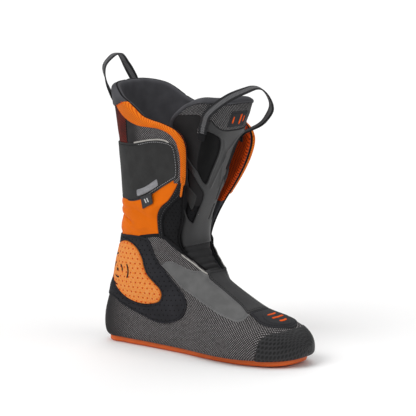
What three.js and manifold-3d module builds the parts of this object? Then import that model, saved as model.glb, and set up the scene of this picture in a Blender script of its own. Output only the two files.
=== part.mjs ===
// Ski-touring boot liner (the padded inner boot), right foot, in millimetres.
// Design axes: x from the heel's back to the toe, y from the outer to the inner side of the leg, z up.
// The whole group is shifted so that the origin is on the sole's underside at mid-length.

import * as THREE from "three";
import { mergeVertices } from "three/addons/utils/BufferGeometryUtils.js";
import Module from "manifold-3d";

const wasm = await Module();
wasm.setup();

// ---- driving dimensions ----------------------------------------------------------------------

const FOOT_LENGTH = 286;
const FAR = 400; // past every side of the object, for cutting prisms
const GAP = 0.3; // air left between pieces that touch on the real object

const FOAM = { low: 6, side: 7, high: 5 }; // foam thickness at the back or bottom, the sides, the front or top
const LINING = 0.8;
const BASE_SKIN = [GAP, 1.1]; // the outer fabric, from and to this height over the foam
const OVERLAY = [1.4, 2.4]; // what is sewn on the outer fabric
const RAISED = [2.7, 3.5]; // what is sewn on an overlay

const FOOT_FOAM_TOP = 138; // the flex zone of the ankle lies between these two heights
const CUFF_FOAM_BOTTOM = 165;

const STRAP_WIDTH = 11;
const STRAP_THICKNESS = 1.4;

const OUTER = -1; // the outer (little toe) side of the foot is -y
const INNER = 1;

// ---- the boot's skin as a fan of sections ----------------------------------------------------

// Each station is one oval section. It runs from a back or bottom point to a front or top point of the
// side view. Columns: back x, back z, front x, front z, half-width on the outer side, half-width on the
// inner side, where it is widest (0 back, 1 front), squareness of the back half and of the front half,
// and y of its middle.
const STATIONS = [
  [280, 10, 280, 42, 26, 30, 0.4, 3.5, 2.3, 7],
  [258, 8.5, 258, 47, 36.5, 39, 0.4, 4.5, 2.3, 4],
  [236, 7.5, 236, 52.5, 43.5, 42.5, 0.38, 5, 2.2, 2],
  [212, 7, 212, 59.5, 47, 44, 0.35, 6, 2.1, 0],
  [186, 7, 186, 74, 47, 43, 0.33, 7, 2, -1],
  [160, 7, 160, 91.5, 43.5, 39, 0.33, 8, 1.9, -1],
  [128, 7, 157, 104, 39, 35, 0.34, 9, 1.9, 0],
  [98, 7, 154, 114, 36.5, 34.5, 0.36, 10, 1.9, 0],
  [68, 7, 152, 121, 36, 35.5, 0.4, 10, 2, 0],
  [36, 7, 151, 127, 37, 37, 0.45, 9, 2, 0],
  [7, 8, 151, 133, 38, 38, 0.5, 5.5, 2.1, 0],
  [-1, 30, 152, 139, 38.5, 38.5, 0.5, 3.6, 2.1, 0],
  [4, 57, 153, 146, 39, 39, 0.5, 2.9, 2.2, 0],
  [12.5, 87, 156, 156, 40, 40, 0.48, 2.5, 2.3, 0],
  [19.5, 115, 160, 168, 41, 41, 0.47, 2.4, 2.4, 0],
  [23.5, 140, 166, 181, 42, 42, 0.46, 2.3, 2.6, 0],
  [26, 165, 175, 196, 44, 45, 0.45, 2.3, 2.8, 0],
  [26.5, 190, 185, 213, 46.5, 49, 0.43, 2.3, 3, 0],
  [25.5, 215, 193, 231, 49, 54, 0.42, 2.3, 3.1, 0],
  [23.5, 240, 200, 250, 51.5, 58.5, 0.41, 2.3, 3.1, 0],
  [20, 268, 204, 271, 53.5, 61, 0.41, 2.3, 3.1, 0],
  [16.5, 292, 206, 290, 55, 61.5, 0.41, 2.3, 3, 0],
  [13.5, 317, 207, 311, 56, 61.5, 0.41, 2.3, 3, 0],
];
const TOE_STATIONS = 2; // the toe closes over these first stations
const TOE_HEIGHT = 22; // height of the toe's foremost point
const TOE_ROUNDNESS = { plan: 2.4, top: 2.1, bottom: 3.5 };
const TOE_ROWS = [0, 0.35, 0.8, 1.35];
const SIDE_STEPS = 9; // facets from the back to the front on one side of a section

function spline(before, from, to, after, t) {
  const slopes = (to - before) * t + (2 * before - 5 * from + 4 * to - after) * t * t;
  return from + 0.5 * (slopes + (3 * from - before - 3 * to + after) * t * t * t);
}

function interpolate(rows, at) {
  const i = Math.min(Math.max(Math.floor(at), 0), rows.length - 2);
  const row = (k, column) => {
    if (k < 0) return 2 * rows[0][column] - rows[1][column];
    if (k >= rows.length) return 2 * rows[rows.length - 1][column] - rows[rows.length - 2][column];
    return rows[k][column];
  };
  const value = (c) => spline(row(i - 1, c), row(i, c), row(i + 1, c), row(i + 2, c), at - i);
  return rows[0].map((_, column) => value(column));
}

const towardZero = (amount, power) => Math.pow(Math.max(0, 1 - Math.pow(amount, power)), 1 / power);

// A section at station `at`, moved inward by `inset` (negative values move it outward).
function section(at, inset) {
  const toe = at < TOE_STATIONS ? Math.sin(((TOE_STATIONS - at) / TOE_STATIONS) * (Math.PI / 2)) : 0;
  const row = toe > 0 ? TOE_STATIONS * (1 - toe) : at;
  let [backX, backZ, frontX, frontZ, outer, inner, widest, low, high, middle] = interpolate(STATIONS, row);
  const length = Math.hypot(frontX - backX, frontZ - backZ);
  const [alongX, alongZ] = [(frontX - backX) / length, (frontZ - backZ) / length];
  backX += alongX * inset.low - inset.side * toe;
  backZ += alongZ * inset.low;
  frontX -= alongX * inset.high + inset.side * toe;
  frontZ -= alongZ * inset.high;
  outer -= inset.side;
  inner -= inset.side;
  if (toe > 0) {
    outer *= towardZero(toe, TOE_ROUNDNESS.plan);
    inner *= towardZero(toe, TOE_ROUNDNESS.plan);
    backZ = TOE_HEIGHT + (backZ - TOE_HEIGHT) * towardZero(toe, TOE_ROUNDNESS.bottom);
    frontZ = TOE_HEIGHT + (frontZ - TOE_HEIGHT) * towardZero(toe, TOE_ROUNDNESS.top);
  }
  return { backX, backZ, frontX, frontZ, outer, inner, widest, low, high, middle };
}

// A point of a section. turn is -180 at the back, 0 at the front, negative on the outer side.
function sectionPoint(s, turn) {
  const side = turn < 0 ? OUTER : INNER;
  const angle = THREE.MathUtils.degToRad(90 - Math.abs(turn));
  const [up, across] = [Math.sin(angle), Math.cos(angle)];
  const squareness = up < 0 ? s.low : s.high;
  const reach = Math.pow(Math.abs(up), 2 / squareness);
  const along = up < 0 ? s.widest * (1 - reach) : s.widest + (1 - s.widest) * reach;
  const halfWidth = side === OUTER ? s.outer : s.inner;
  return new THREE.Vector3(
    s.backX + (s.frontX - s.backX) * along,
    s.middle + side * halfWidth * Math.pow(Math.max(0, across), 2 / squareness),
    s.backZ + (s.frontZ - s.backZ) * along,
  );
}

const outward = (height) => ({ low: -height, side: -height, high: -height });
const foamInside = (extra) => ({ low: FOAM.low + extra, side: FOAM.side + extra, high: FOAM.high + extra });

// The point of the skin at side-view place (x, z), raised by `height`: the station whose section line
// passes through it, then the width of that section there.
function skinPoint(x, z, side, height) {
  const inset = outward(height);
  const offLine = (at) => {
    const s = section(at, inset);
    return (s.frontX - s.backX) * (z - s.backZ) - (s.frontZ - s.backZ) * (x - s.backX);
  };
  let [low, high] = [TOE_STATIONS, STATIONS.length - 1];
  const rising = offLine(high) > 0;
  for (let i = 0; i < 40; i++) {
    const mid = (low + high) / 2;
    if (offLine(mid) > 0 === rising) high = mid;
    else low = mid;
  }
  const s = section(low, inset);
  const [dx, dz] = [s.frontX - s.backX, s.frontZ - s.backZ];
  const along = ((x - s.backX) * dx + (z - s.backZ) * dz) / (dx * dx + dz * dz);
  const front = along > s.widest;
  const reach = front ? (along - s.widest) / (1 - s.widest) : (s.widest - along) / s.widest;
  const halfWidth = side === OUTER ? s.outer : s.inner;
  const y = s.middle + side * halfWidth * towardZero(Math.min(1, Math.max(0, reach)), front ? s.high : s.low);
  return new THREE.Vector3(x, y, z);
}

// ---- solids ------------------------------------------------------------------------------------

function withoutSlivers(geometry) {
  const index = Array.from(geometry.index.array);
  const kept = [];
  for (let i = 0; i < index.length; i += 3) {
    const [a, b, c] = index.slice(i, i + 3);
    if (a !== b && b !== c && c !== a) kept.push(a, b, c);
  }
  geometry.setIndex(kept);
  return geometry;
}

function solid(geometry) {
  const bare = geometry.clone();
  bare.deleteAttribute("normal");
  bare.deleteAttribute("uv");
  const merged = withoutSlivers(mergeVertices(bare, 1e-3));
  const vertProperties = new Float32Array(merged.attributes.position.array);
  const triVerts = new Uint32Array(merged.index.array);
  return new wasm.Manifold(new wasm.Mesh({ numProp: 3, vertProperties, triVerts }));
}

function meshGeometry(manifold) {
  const { vertProperties, triVerts } = manifold.getMesh();
  const geometry = new THREE.BufferGeometry();
  geometry.setAttribute("position", new THREE.BufferAttribute(new Float32Array(vertProperties), 3));
  geometry.setIndex(new THREE.BufferAttribute(new Uint32Array(triVerts), 1));
  geometry.computeVertexNormals();
  return geometry;
}

// A closed slab between two grids of points of the same size. The first grid faces out.
// With `round`, each row closes on itself.
function slab(top, bottom, round) {
  const rows = top.length;
  const columns = top[0].length;
  const points = [...top.flat(), ...bottom.flat()];
  const index = [];
  const quad = (a, b, c, d) => index.push(a, b, c, a, c, d);
  const upper = (r, c) => r * columns + (c % columns);
  const lower = (r, c) => rows * columns + upper(r, c);
  const lastColumn = round ? columns : columns - 1;
  for (let r = 0; r + 1 < rows; r++) {
    for (let c = 0; c < lastColumn; c++) {
      quad(upper(r, c), upper(r, c + 1), upper(r + 1, c + 1), upper(r + 1, c));
      quad(lower(r, c), lower(r + 1, c), lower(r + 1, c + 1), lower(r, c + 1));
    }
    if (!round) {
      quad(upper(r, 0), upper(r + 1, 0), lower(r + 1, 0), lower(r, 0));
      quad(upper(r, lastColumn), lower(r, lastColumn), lower(r + 1, lastColumn), upper(r + 1, lastColumn));
    }
  }
  for (let c = 0; c < lastColumn; c++) {
    quad(upper(0, c), lower(0, c), lower(0, c + 1), upper(0, c + 1));
    quad(upper(rows - 1, c), upper(rows - 1, c + 1), lower(rows - 1, c + 1), lower(rows - 1, c));
  }
  const geometry = new THREE.BufferGeometry().setFromPoints(points);
  geometry.setIndex(index);
  return solid(geometry);
}

function bootGrid(inset) {
  const rows = [...TOE_ROWS];
  for (let at = TOE_STATIONS; at < STATIONS.length; at++) rows.push(at);
  const turns = Array.from({ length: 2 * SIDE_STEPS }, (_, i) => -180 + (180 * i) / SIDE_STEPS);
  return rows.map((at) => turns.map((turn) => sectionPoint(section(at, inset), turn)));
}

// The whole boot as a hollow shell, closed at the toe and open at the collar.
function bootShell(outside, inside) {
  return slab(bootGrid(outside), bootGrid(inside), true);
}

const skins = new Map();
function skin([from, to]) {
  const key = `${from} ${to}`;
  if (!skins.has(key)) skins.set(key, bootShell(outward(to), outward(from)));
  return skins.get(key);
}

// ---- outlines and cutting prisms ---------------------------------------------------------------

// An outline from stretches that meet at corners. A stretch of three or more points is a smooth curve.
function outline(...stretches) {
  const points = [];
  for (const stretch of stretches) {
    const path = stretch.map(([x, y]) => new THREE.Vector2(x, y));
    const curve = path.length > 2 ? new THREE.SplineCurve(path) : null;
    const fine = curve ? curve.getPoints((path.length > 5 ? 1 : 2) * (path.length - 1)) : path;
    const last = points[points.length - 1];
    points.push(...(last && last.distanceTo(fine[0]) < 0.01 ? fine.slice(1) : fine));
  }
  if (points[0].distanceTo(points[points.length - 1]) < 0.01) points.pop();
  return points;
}

// A closed smooth outline through the points.
function loop(points) {
  const path = points.map(([x, y]) => new THREE.Vector3(x, y, 0));
  const curve = new THREE.CatmullRomCurve3(path, true);
  return curve.getPoints(points.length).slice(0, -1).map((p) => new THREE.Vector2(p.x, p.y));
}

function grown(points, by) {
  const sign = THREE.ShapeUtils.isClockWise(points) ? 1 : -1;
  return points.map((point, i) => {
    const before = points[(i + points.length - 1) % points.length];
    const after = points[(i + 1) % points.length];
    const along = after.clone().sub(before).normalize();
    return new THREE.Vector2(point.x - sign * along.y * by, point.y + sign * along.x * by);
  });
}

// A prism whose outline is drawn in the side view, from y = from to y = to.
function sidePrism(points, from, to) {
  const geometry = new THREE.ExtrudeGeometry(new THREE.Shape(points), { depth: to - from, bevelEnabled: false });
  geometry.rotateX(Math.PI / 2);
  geometry.translate(0, to, 0);
  return solid(geometry);
}

const halfPrism = (points, side) =>
  side === OUTER ? sidePrism(points, -FAR, -GAP / 2) : sidePrism(points, GAP / 2, FAR);
const bothPrism = (points) => sidePrism(points, -FAR, FAR);

// A prism whose outline is drawn in the plan view.
function planPrism(points, from, to) {
  const geometry = new THREE.ExtrudeGeometry(new THREE.Shape(points), { depth: to - from, bevelEnabled: false });
  geometry.translate(0, 0, from);
  return solid(geometry);
}

function block(x0, x1, y0, y1, z0, z1) {
  const geometry = new THREE.BoxGeometry(x1 - x0, y1 - y0, z1 - z0);
  geometry.translate((x0 + x1) / 2, (y0 + y1) / 2, (z0 + z1) / 2);
  return solid(geometry);
}

const heights = (from, to) => block(-FAR, FAR, -FAR, FAR, from, to);
const sideBlock = (side, x0, x1) =>
  side === OUTER ? block(x0, x1, -FAR, -GAP, 0, FAR) : block(x0, x1, GAP, FAR, 0, FAR);

// ---- edges shared by several pieces ------------------------------------------------------------

const THROAT_END = [159, 97]; // where the opening ends on the instep

// The collar's rim and then the front edge of the foam, from the back of the calf down to the instep.
const COLLAR_EDGE = {
  [OUTER]: [[-20, 311], [14, 310], [42, 299], [65, 292], [77, 285], [93, 279], [110, 276], [125, 275],
    [137, 270], [144.5, 262], [147, 250], [146.5, 229], [144, 205], [137, 186], [129, 160], [123, 141],
    [124, 126], [133, 115], [146, 105], THROAT_END],
  [INNER]: [[-20, 311], [14, 311], [38, 311], [58, 304], [78, 292], [100, 282], [125, 276], [150, 269],
    [164, 259], [170, 246], [167, 226], [157, 203], [142, 179], [128, 155], [121, 136], [124, 122],
    [134, 110], [147, 101], THROAT_END],
};

const openingOutline = (edge) => outline(edge, [edge[edge.length - 1], [FAR, 97]], [[FAR, 97], [FAR, FAR]],
  [[FAR, FAR], [-20, FAR]], [[-20, FAR], edge[0]]);

const opening = halfPrism(openingOutline(COLLAR_EDGE[OUTER]), OUTER)
  .add(halfPrism(openingOutline(COLLAR_EDGE[INNER]), INNER))
  .add(sidePrism(openingOutline(COLLAR_EDGE[OUTER]), -1, 1));

// The outer fabric of the foot stops short of the foam's edge.
const FOOT_FABRIC_EDGE = [[96, 142], [104, 138], [113, 132], [121, 125], [129, 117], [138, 110], [148, 102], [157, 95.5]];
const footFabricOpening = bothPrism(
  outline([[60, 300], [96, 142]], FOOT_FABRIC_EDGE, [[157, 95.5], [FAR, 95.5]], [[FAR, 95.5], [FAR, 300]],
    [[FAR, 300], [60, 300]]),
);

// In the flex zone and above it, the orange fabric ends behind a black binding.
const BINDING_BACK = [[140, 214], [136, 203], [127, 190], [119, 181], [108, 172], [101, 162], [99.5, 150], [100, 138]];
const BINDING_FRONT = [[107, 138], [106.5, 150], [110, 160], [120, 170], [131, 181], [138, 194], [144, 206], [145, 216]];

const SEAM_HEIGHT = 245; // between the lower and the upper fabric of the cuff
const REAR_SEAM_X = 59; // between the side and the rear fabric of the collar

// ---- sole and insole ---------------------------------------------------------------------------

const SOLE_EDGE = 1.2; // how far the sole stands out from the foam
const SOLE_RIM_HEIGHT = 8;
const TOE_SPRING = { start: 195, end: 286, rise: 5 };
const HEEL_STATION = 10.7; // the section through the sole's rear edge
const HEEL_STEPS = 9;

const rimHeight = (x) => SOLE_RIM_HEIGHT + 0.75 * toeSpring(x);
const toeSpring = (x) => {
  const t = Math.min(1, Math.max(0, (x - TOE_SPRING.start) / (TOE_SPRING.end - TOE_SPRING.start)));
  return TOE_SPRING.rise * t * t;
};

// The foot's outline seen from above, from the toe round the heel, standing out from the foam by `by`.
function planOutline(by) {
  const heelTurns = Array.from({ length: HEEL_STEPS + 1 }, (_, i) => 90 + (90 * i) / HEEL_STEPS);
  const footStations = [0.25, 0.6, 1, 1.5, 2, 3, 4, 5, 6, 7, 8, 9];
  const along = (side) => footStations.map((at) => sectionPoint(section(at, outward(by)), side * 100));
  const inner = heelTurns.map((turn) => sectionPoint(section(HEEL_STATION, outward(by)), turn));
  const outer = heelTurns.slice(0, -1).reverse().map((turn) => sectionPoint(section(HEEL_STATION, outward(by)), -turn));
  const toe = sectionPoint(section(0, outward(by)), 0);
  const ring = [toe, ...along(INNER), ...inner, ...outer, ...along(OUTER).reverse()];
  return ring.map((p) => new THREE.Vector2(p.x, p.y));
}

// A closed body between two copies of an outline, placed by two functions of its points.
function lofted(points, placeTop, placeBottom) {
  const ring = THREE.ShapeUtils.isClockWise(points) ? [...points].reverse() : points;
  const count = ring.length;
  const index = [];
  for (const [a, b, c] of THREE.ShapeUtils.triangulateShape(ring, [])) {
    index.push(a, b, c, a + count, c + count, b + count);
  }
  for (let i = 0; i < count; i++) {
    const next = (i + 1) % count;
    index.push(i, i + count, next + count, i, next + count, next);
  }
  const geometry = new THREE.BufferGeometry().setFromPoints([...ring.map(placeTop), ...ring.map(placeBottom)]);
  geometry.setIndex(index);
  return solid(geometry);
}

// A plate with the outline as its plan. bottom and top give its heights from x.
function plate(points, bottom, top) {
  const at = (height) => (p) => new THREE.Vector3(p.x, p.y, height(p.x));
  return lofted(points, at(top), at(bottom));
}

function outsole() {
  const rim = plate(planOutline(SOLE_EDGE), toeSpring, rimHeight);
  return rim.subtract(bootShell(outward(GAP), foamInside(2 * FOAM.low)));
}

// The insole board and the footbed are cupped: they follow the foam's inside up to a height.
const INSOLE_BOARD = { from: GAP, to: 1.5, top: 18 };
const FOOTBED = { from: 1.8, to: 6.2, top: 24 };

const insideLayer = ({ from, to, top }) =>
  bootShell(foamInside(from), foamInside(to)).intersect(heights(0, top));
const insoleBoard = () => insideLayer(INSOLE_BOARD);
const footbed = () => insideLayer(FOOTBED);

// ---- foot --------------------------------------------------------------------------------------

const TONGUE_NOTCH = outline(
  [[148, -20], [173, -20], [179, -9], [180, 0], [179, 9], [173, 20], [148, 20]],
  [[148, 20], [148, -20]],
);
const HEEL_COUNTER = { x: 66, bottom: 14, top: 74, depth: [0.2, 1.6] };

const heelCounterOutline = outline(
  [[-20, HEEL_COUNTER.bottom], [HEEL_COUNTER.x, HEEL_COUNTER.bottom]],
  [[HEEL_COUNTER.x, HEEL_COUNTER.bottom], [62, 34], [44, 56], [22, 70], [-20, HEEL_COUNTER.top]],
);

function heelCounter() {
  return skin([-HEEL_COUNTER.depth[1], -HEEL_COUNTER.depth[0]]).intersect(bothPrism(heelCounterOutline));
}

function heelCounterPocket() {
  const pocket = skin([-HEEL_COUNTER.depth[1] - GAP, GAP]);
  return pocket.intersect(bothPrism(grown(heelCounterOutline, GAP)));
}

const wholeFoam = bootShell(outward(0), foamInside(0)).subtract(opening);

function footFoam() {
  return wholeFoam
    .intersect(heights(-10, FOOT_FOAM_TOP))
    .subtract(planPrism(TONGUE_NOTCH, 60, FAR))
    .subtract(heelCounterPocket())
    .subtract(tongueClearance());
}

function vampMesh() {
  return skin(BASE_SKIN)
    .intersect(heights(SOLE_RIM_HEIGHT - 2, FOOT_FOAM_TOP - 1))
    .subtract(footFabricOpening)
    .subtract(soleClearance());
}

// The sole's rim with a little air round it.
function soleClearance() {
  return plate(planOutline(SOLE_EDGE + 2), () => -20, (x) => rimHeight(x) + GAP);
}

function toeCap() {
  const edge = [[236, -5], [237, 9], [241, 20], [243, 29], [246, 36], [252, 40], [262, 42], [265, 52], [266, 70]];
  const region = bothPrism(outline(edge, [[266, 70], [FAR, 70]], [[FAR, 70], [FAR, -5]], [[FAR, -5], [236, -5]]));
  return skin(OVERLAY).intersect(region).subtract(soleClearance());
}

const INSTEP_PLAN = outline(
  [[151, -20], [162, -15.5], [188, -14.5], [202, -15], [214, -19]],
  [[214, -19], [216, 1], [214, 21]],
  [[214, 21], [202, 16], [188, 13.5], [162, 14], [151, 18]],
  [[151, 18], [149, -1], [151, -20]],
);
const TOE_PATCH_PLAN = outline(
  [[214.8, -17], [217, 1], [214.8, 20]],
  [[214.8, 20], [225, 24.5], [237, 28], [249, 25], [257, 17], [261, 3], [257, -10], [248, -20], [237, -24],
    [225, -21], [214.8, -17]],
);
const TOE_BADGE_PLAN = loop([[226, 2], [229, -11], [241, -16], [252, -9], [256, 3], [252, 14], [241, 20], [229, 15]]);

const instepPanel = () => skin(OVERLAY).intersect(planPrism(INSTEP_PLAN, 45, 100));
const toePatch = () => skin(OVERLAY).intersect(planPrism(grown(TOE_PATCH_PLAN, -GAP), 36, 90)).subtract(toeCapClearance());
const toePatchBadge = () => skin(RAISED).intersect(planPrism(TOE_BADGE_PLAN, 36, 90));

function toeCapClearance() {
  return bothPrism(outline([[264.5, -5], [264.5, 80]], [[264.5, 80], [FAR, 80]], [[FAR, 80], [FAR, -5]]));
}

const SURROUND_OUTLINE = outline(
  [[-20, 133], [30, 133.5], [58, 136], [75, 136], [85, 134]],
  [[85, 134], [89, 127], [93, 116], [99, 105], [106, 97], [115, 87], [126, 77], [135, 68], [139, 59], [135, 48],
    [123, 40], [107, 35.5], [90, 36], [72, 41], [56, 46], [40, 52], [25, 58], [-20, 60]],
);
const PAD_OUTLINE = loop([[16, 108], [28, 121], [45, 127.5], [59, 126], [69, 119], [74.5, 109], [76.5, 100], [81, 90],
  [90, 82], [98, 75], [101, 67.5], [97, 60], [87, 56.5], [76, 55], [63, 56], [50, 60], [37, 68], [24, 80], [15, 94]]);
const PAD = [1.4, 3.2];

const ankleSurround = (side) =>
  skin(OVERLAY).intersect(halfPrism(SURROUND_OUTLINE, side)).subtract(halfPrism(grown(PAD_OUTLINE, GAP), side));
const PAD_SEAM = 3; // from the pad's rear edge to the boot's middle plane
const anklePad = (side) =>
  skin(PAD).intersect(halfPrism(PAD_OUTLINE, side)).subtract(block(-FAR, FAR, -PAD_SEAM, PAD_SEAM, 0, FAR));

const WING_OUTLINE = outline(
  [[101, 103], [106, 108], [114, 109], [121, 106.5], [130, 102], [141, 99], [150, 99], [160, 95], [175, 84],
    [190, 75], [205, 66], [212, 61]],
  [[212, 61], [216, 56], [216, 51.5], [210, 49.5], [200, 52], [187, 56], [169, 63], [150, 70], [135, 75.5],
    [125, 81], [116, 89], [108, 97], [101, 103]],
);

const wingOverlay = (side) =>
  skin(OVERLAY)
    .intersect(halfPrism(WING_OUTLINE, side))
    .subtract(planPrism(grown(INSTEP_PLAN, GAP), 45, 120))
    .subtract(planPrism(grown(TOE_PATCH_PLAN, GAP), 36, 90))
    .subtract(halfPrism(grown(SURROUND_OUTLINE, GAP), side));

const PIPING_RADIUS = 1.1;
const PIPING_LIFT = 2.7;

// A round cord laid on the skin along side-view points.
function piping(points, side) {
  const path = new THREE.CatmullRomCurve3(points.map(([x, z]) => skinPoint(x, z, side, PIPING_LIFT)));
  const circle = new THREE.Shape();
  circle.absarc(0, 0, PIPING_RADIUS, 0, 2 * Math.PI);
  return solid(new THREE.ExtrudeGeometry(circle, { steps: 8, curveSegments: 4, extrudePath: path }));
}

const throatPiping = (side) => piping([[126, 118.5], [133, 112.5], [141, 106.5], [149, 100.5]], side);

// ---- flex zone and cuff --------------------------------------------------------------------------

const flexHeights = heights(FOOT_FOAM_TOP + GAP, CUFF_FOAM_BOTTOM - GAP);
const cuffHeights = heights(CUFF_FOAM_BOTTOM, FAR);
const behindBinding = (shift) => bothPrism(outline(
  BINDING_BACK.map(([x, z]) => [x + shift, z]), [[100 + shift, 138], [100 + shift, 100]],
  [[100 + shift, 100], [-FAR, 100]], [[-FAR, 100], [-FAR, FAR]], [[-FAR, FAR], [140 + shift, FAR]],
  [[140 + shift, FAR], [140 + shift, 214]],
));
const bindingBand = bothPrism(outline(BINDING_BACK, [[100, 138], [100, 120]], [[100, 120], [107, 120]],
  [[107, 120], [107, 138]], BINDING_FRONT, [[145, 216], [140, 214]]));

const flexFoam = () => wholeFoam.intersect(flexHeights);
const flexGusset = () => skin(BASE_SKIN).intersect(flexHeights).intersect(behindBinding(0)).subtract(opening);
const cuffFoam = () => wholeFoam.intersect(cuffHeights);
const collarLining = () =>
  bootShell(foamInside(GAP), foamInside(GAP + LINING)).intersect(cuffHeights).subtract(opening);

const cuffSkirt = () =>
  skin(BASE_SKIN)
    .intersect(heights(CUFF_FOAM_BOTTOM, SEAM_HEIGHT - GAP))
    .intersect(behindBinding(-GAP))
    .subtract(opening);

const TRIM_INSIDE = {
  [OUTER]: [[134, 187], [136.5, 203], [139, 220], [138.5, 238], [136, 251], [129, 261], [116, 267], [98, 270],
    [82, 274], [65, 280], [48, 287], [28, 294]],
  [INNER]: [[131, 184], [141, 203], [150, 225], [153, 240], [149, 251], [127, 262], [102, 268], [82, 277],
    [65, 288], [48, 296], [28, 299]],
};

function collarTrim(side) {
  const inside = TRIM_INSIDE[side];
  const [first, last] = [inside[0], inside[inside.length - 1]];
  const region = outline(inside, [last, [30, FAR]], [[30, FAR], [FAR, FAR]], [[FAR, FAR], [FAR, first[1]]],
    [[FAR, first[1]], first]);
  return skin(OVERLAY).intersect(halfPrism(region, side)).subtract(opening);
}

const aboveSeam = heights(SEAM_HEIGHT, FAR);
const collarMesh = (side) =>
  skin(BASE_SKIN).intersect(aboveSeam).intersect(sideBlock(side, REAR_SEAM_X, FAR)).subtract(opening);
const rearCollarPanel = () =>
  skin(BASE_SKIN).intersect(aboveSeam).intersect(block(-FAR, REAR_SEAM_X - GAP, -FAR, FAR, 0, FAR)).subtract(opening);

const CUFF_PANEL_OUTLINE = outline(
  [[-20, 244], [40, 245], [73, 247], [96, 252], [112, 253.5], [126, 252]],
  [[126, 252], [132.5, 247], [134.5, 236], [134.5, 222], [133, 211]],
  [[133, 211], [114, 200], [99, 191], [86, 184], [74, 179.5], [62, 176.5], [48, 176], [34, 178], [-20, 180]],
);
const cuffPanel = () => skin(OVERLAY).intersect(bothPrism(CUFF_PANEL_OUTLINE));

const BINDING_TOP = 208;
const BINDING_LIMIT = 145; // it stays behind this x
function edgeBinding(side) {
  return skin(BASE_SKIN)
    .intersect(bindingBand)
    .intersect(heights(CUFF_FOAM_BOTTOM, BINDING_TOP))
    .intersect(sideBlock(side, -FAR, BINDING_LIMIT))
    .subtract(opening);
}

const REFLECTIVE_OUTLINE = outline([[73, 184], [86, 188.5], [99, 195.5], [106, 200]], [[106, 200], [105, 208]],
  [[105, 208], [98, 203.5], [86, 196.5], [73, 192]], [[73, 192], [73, 184]]);
const reflectiveStrip = () => skin(RAISED).intersect(halfPrism(REFLECTIVE_OUTLINE, OUTER));

const TAG = { corners: [[80, 184], [96, 191], [97, 178], [82, 170]], height: [4, 5] };
const sideTag = () => skin(TAG.height).intersect(halfPrism(outline(...pairs(TAG.corners)), OUTER));

function pairs(corners) {
  return corners.map((corner, i) => [corner, corners[(i + 1) % corners.length]]);
}

const REAR_TAB = { depth: 25, bottom: 281, top: 299 };
const rearLoopTab = () => skin(OVERLAY).intersect(block(-FAR, REAR_TAB.depth, -FAR, FAR, REAR_TAB.bottom, REAR_TAB.top));

// ---- tongue --------------------------------------------------------------------------------------

// The tongue's front line in the side view, from its sewn base to its top: x, z, half-width, how far its
// wings sweep back, squareness of its front, and foam thickness.
const TONGUE = [
  [176, 75.5, 15, 2, 2.2, 3],
  [163, 85, 16, 2.5, 2.2, 3],
  [150, 96, 18, 4, 2.3, 3],
  [139, 108, 20, 7, 2.5, 3.2],
  [132, 121, 22, 10, 2.8, 4.5],
  [129, 138, 24, 14, 3.1, 6],
  [133, 157, 24.2, 18, 3.3, 6.5],
  [144, 184, 26.8, 24, 3.4, 7],
  [159, 224, 33.5, 33, 3.5, 7.5],
  [172, 256, 37.5, 41, 3.5, 8],
  [182, 281, 40, 47, 3.5, 8],
  [190, 303, 41.5, 51, 3.5, 8],
  [194, 313, 42, 52, 3.5, 8],
];
const TONGUE_END = TONGUE.length - 1;
const WING = 84; // degrees from the middle to the wing's edge
const WING_DROP = { rows: 0.75, start: 8, end: 11, lean: 0.6 }; // the top edge falls toward the wings

// A point of the tongue. row is a row of TONGUE, turn runs from -WING (outer) to WING, and height is
// above the foam's front.
function tonguePoint(row, turn, height) {
  const nearTop = THREE.MathUtils.clamp((row - WING_DROP.start) / (WING_DROP.end - WING_DROP.start), 0, 1);
  const drop = WING_DROP.rows * Math.pow(turn / WING, 2) * (1 + WING_DROP.lean * Math.sign(turn));
  const at = row - drop * nearTop;
  const [x, z, halfWidth, sweep, squareness] = interpolate(TONGUE, at);
  const [x0, z0] = interpolate(TONGUE, Math.max(0, at - 0.01));
  const [x1, z1] = interpolate(TONGUE, Math.min(TONGUE_END, at + 0.01));
  const length = Math.hypot(x1 - x0, z1 - z0);
  const [normalX, normalZ] = [(z1 - z0) / length, -(x1 - x0) / length];
  const angle = THREE.MathUtils.degToRad(turn);
  const across = Math.pow(Math.abs(Math.sin(angle)), 2 / squareness) * Math.sign(angle);
  const front = Math.pow(Math.cos(angle), 2 / squareness);
  const back = (sweep + height) * (1 - front) - height;
  return new THREE.Vector3(x - normalX * back, (halfWidth + height) * across, z - normalZ * back);
}

const tongueThickness = (at) => interpolate(TONGUE, at)[5];

// A curved slab of the tongue. Its end rows may be functions of the turn, and its heights functions of the row.
function tongueSlab(start, end, from, to, { wing = WING, left = -wing, right = wing, rows = 7, columns = 12 } = {}) {
  const value = (number, at) => (typeof number === "function" ? number(at) : number);
  const grid = (height) =>
    Array.from({ length: rows + 1 }, (_, r) =>
      Array.from({ length: columns + 1 }, (_, c) => {
        const turn = left + ((right - left) * c) / columns;
        const at = THREE.MathUtils.lerp(value(start, turn), value(end, turn), r / rows);
        return tonguePoint(at, turn, value(height, at));
      }));
  return slab(grid(to), grid(from), false);
}

// A thick patch of the tongue inside an outline of (turn, row) points, for windows and badges.
function tonguePatch(points, from, to) {
  const at = (height) => (p) => tonguePoint(p.y, p.x, height);
  return lofted(points, at(to), at(from));
}

const TONGUE_FLEX = { start: 2.1, end: 4.3 };
const SHELL_HEIGHT = [0.6, 2.2];
const SHELL_TOP = (turn) => 9.42 + 0.45 * Math.pow(turn / 60, 2); // it dips in the middle
const above = (edge, rows) => (turn) => edge(turn) + rows;
const PANEL_HEIGHT = [0.6, 1.4];
const ROLL = { start: 10.32, end: 10.74, height: 2.2 };

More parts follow.
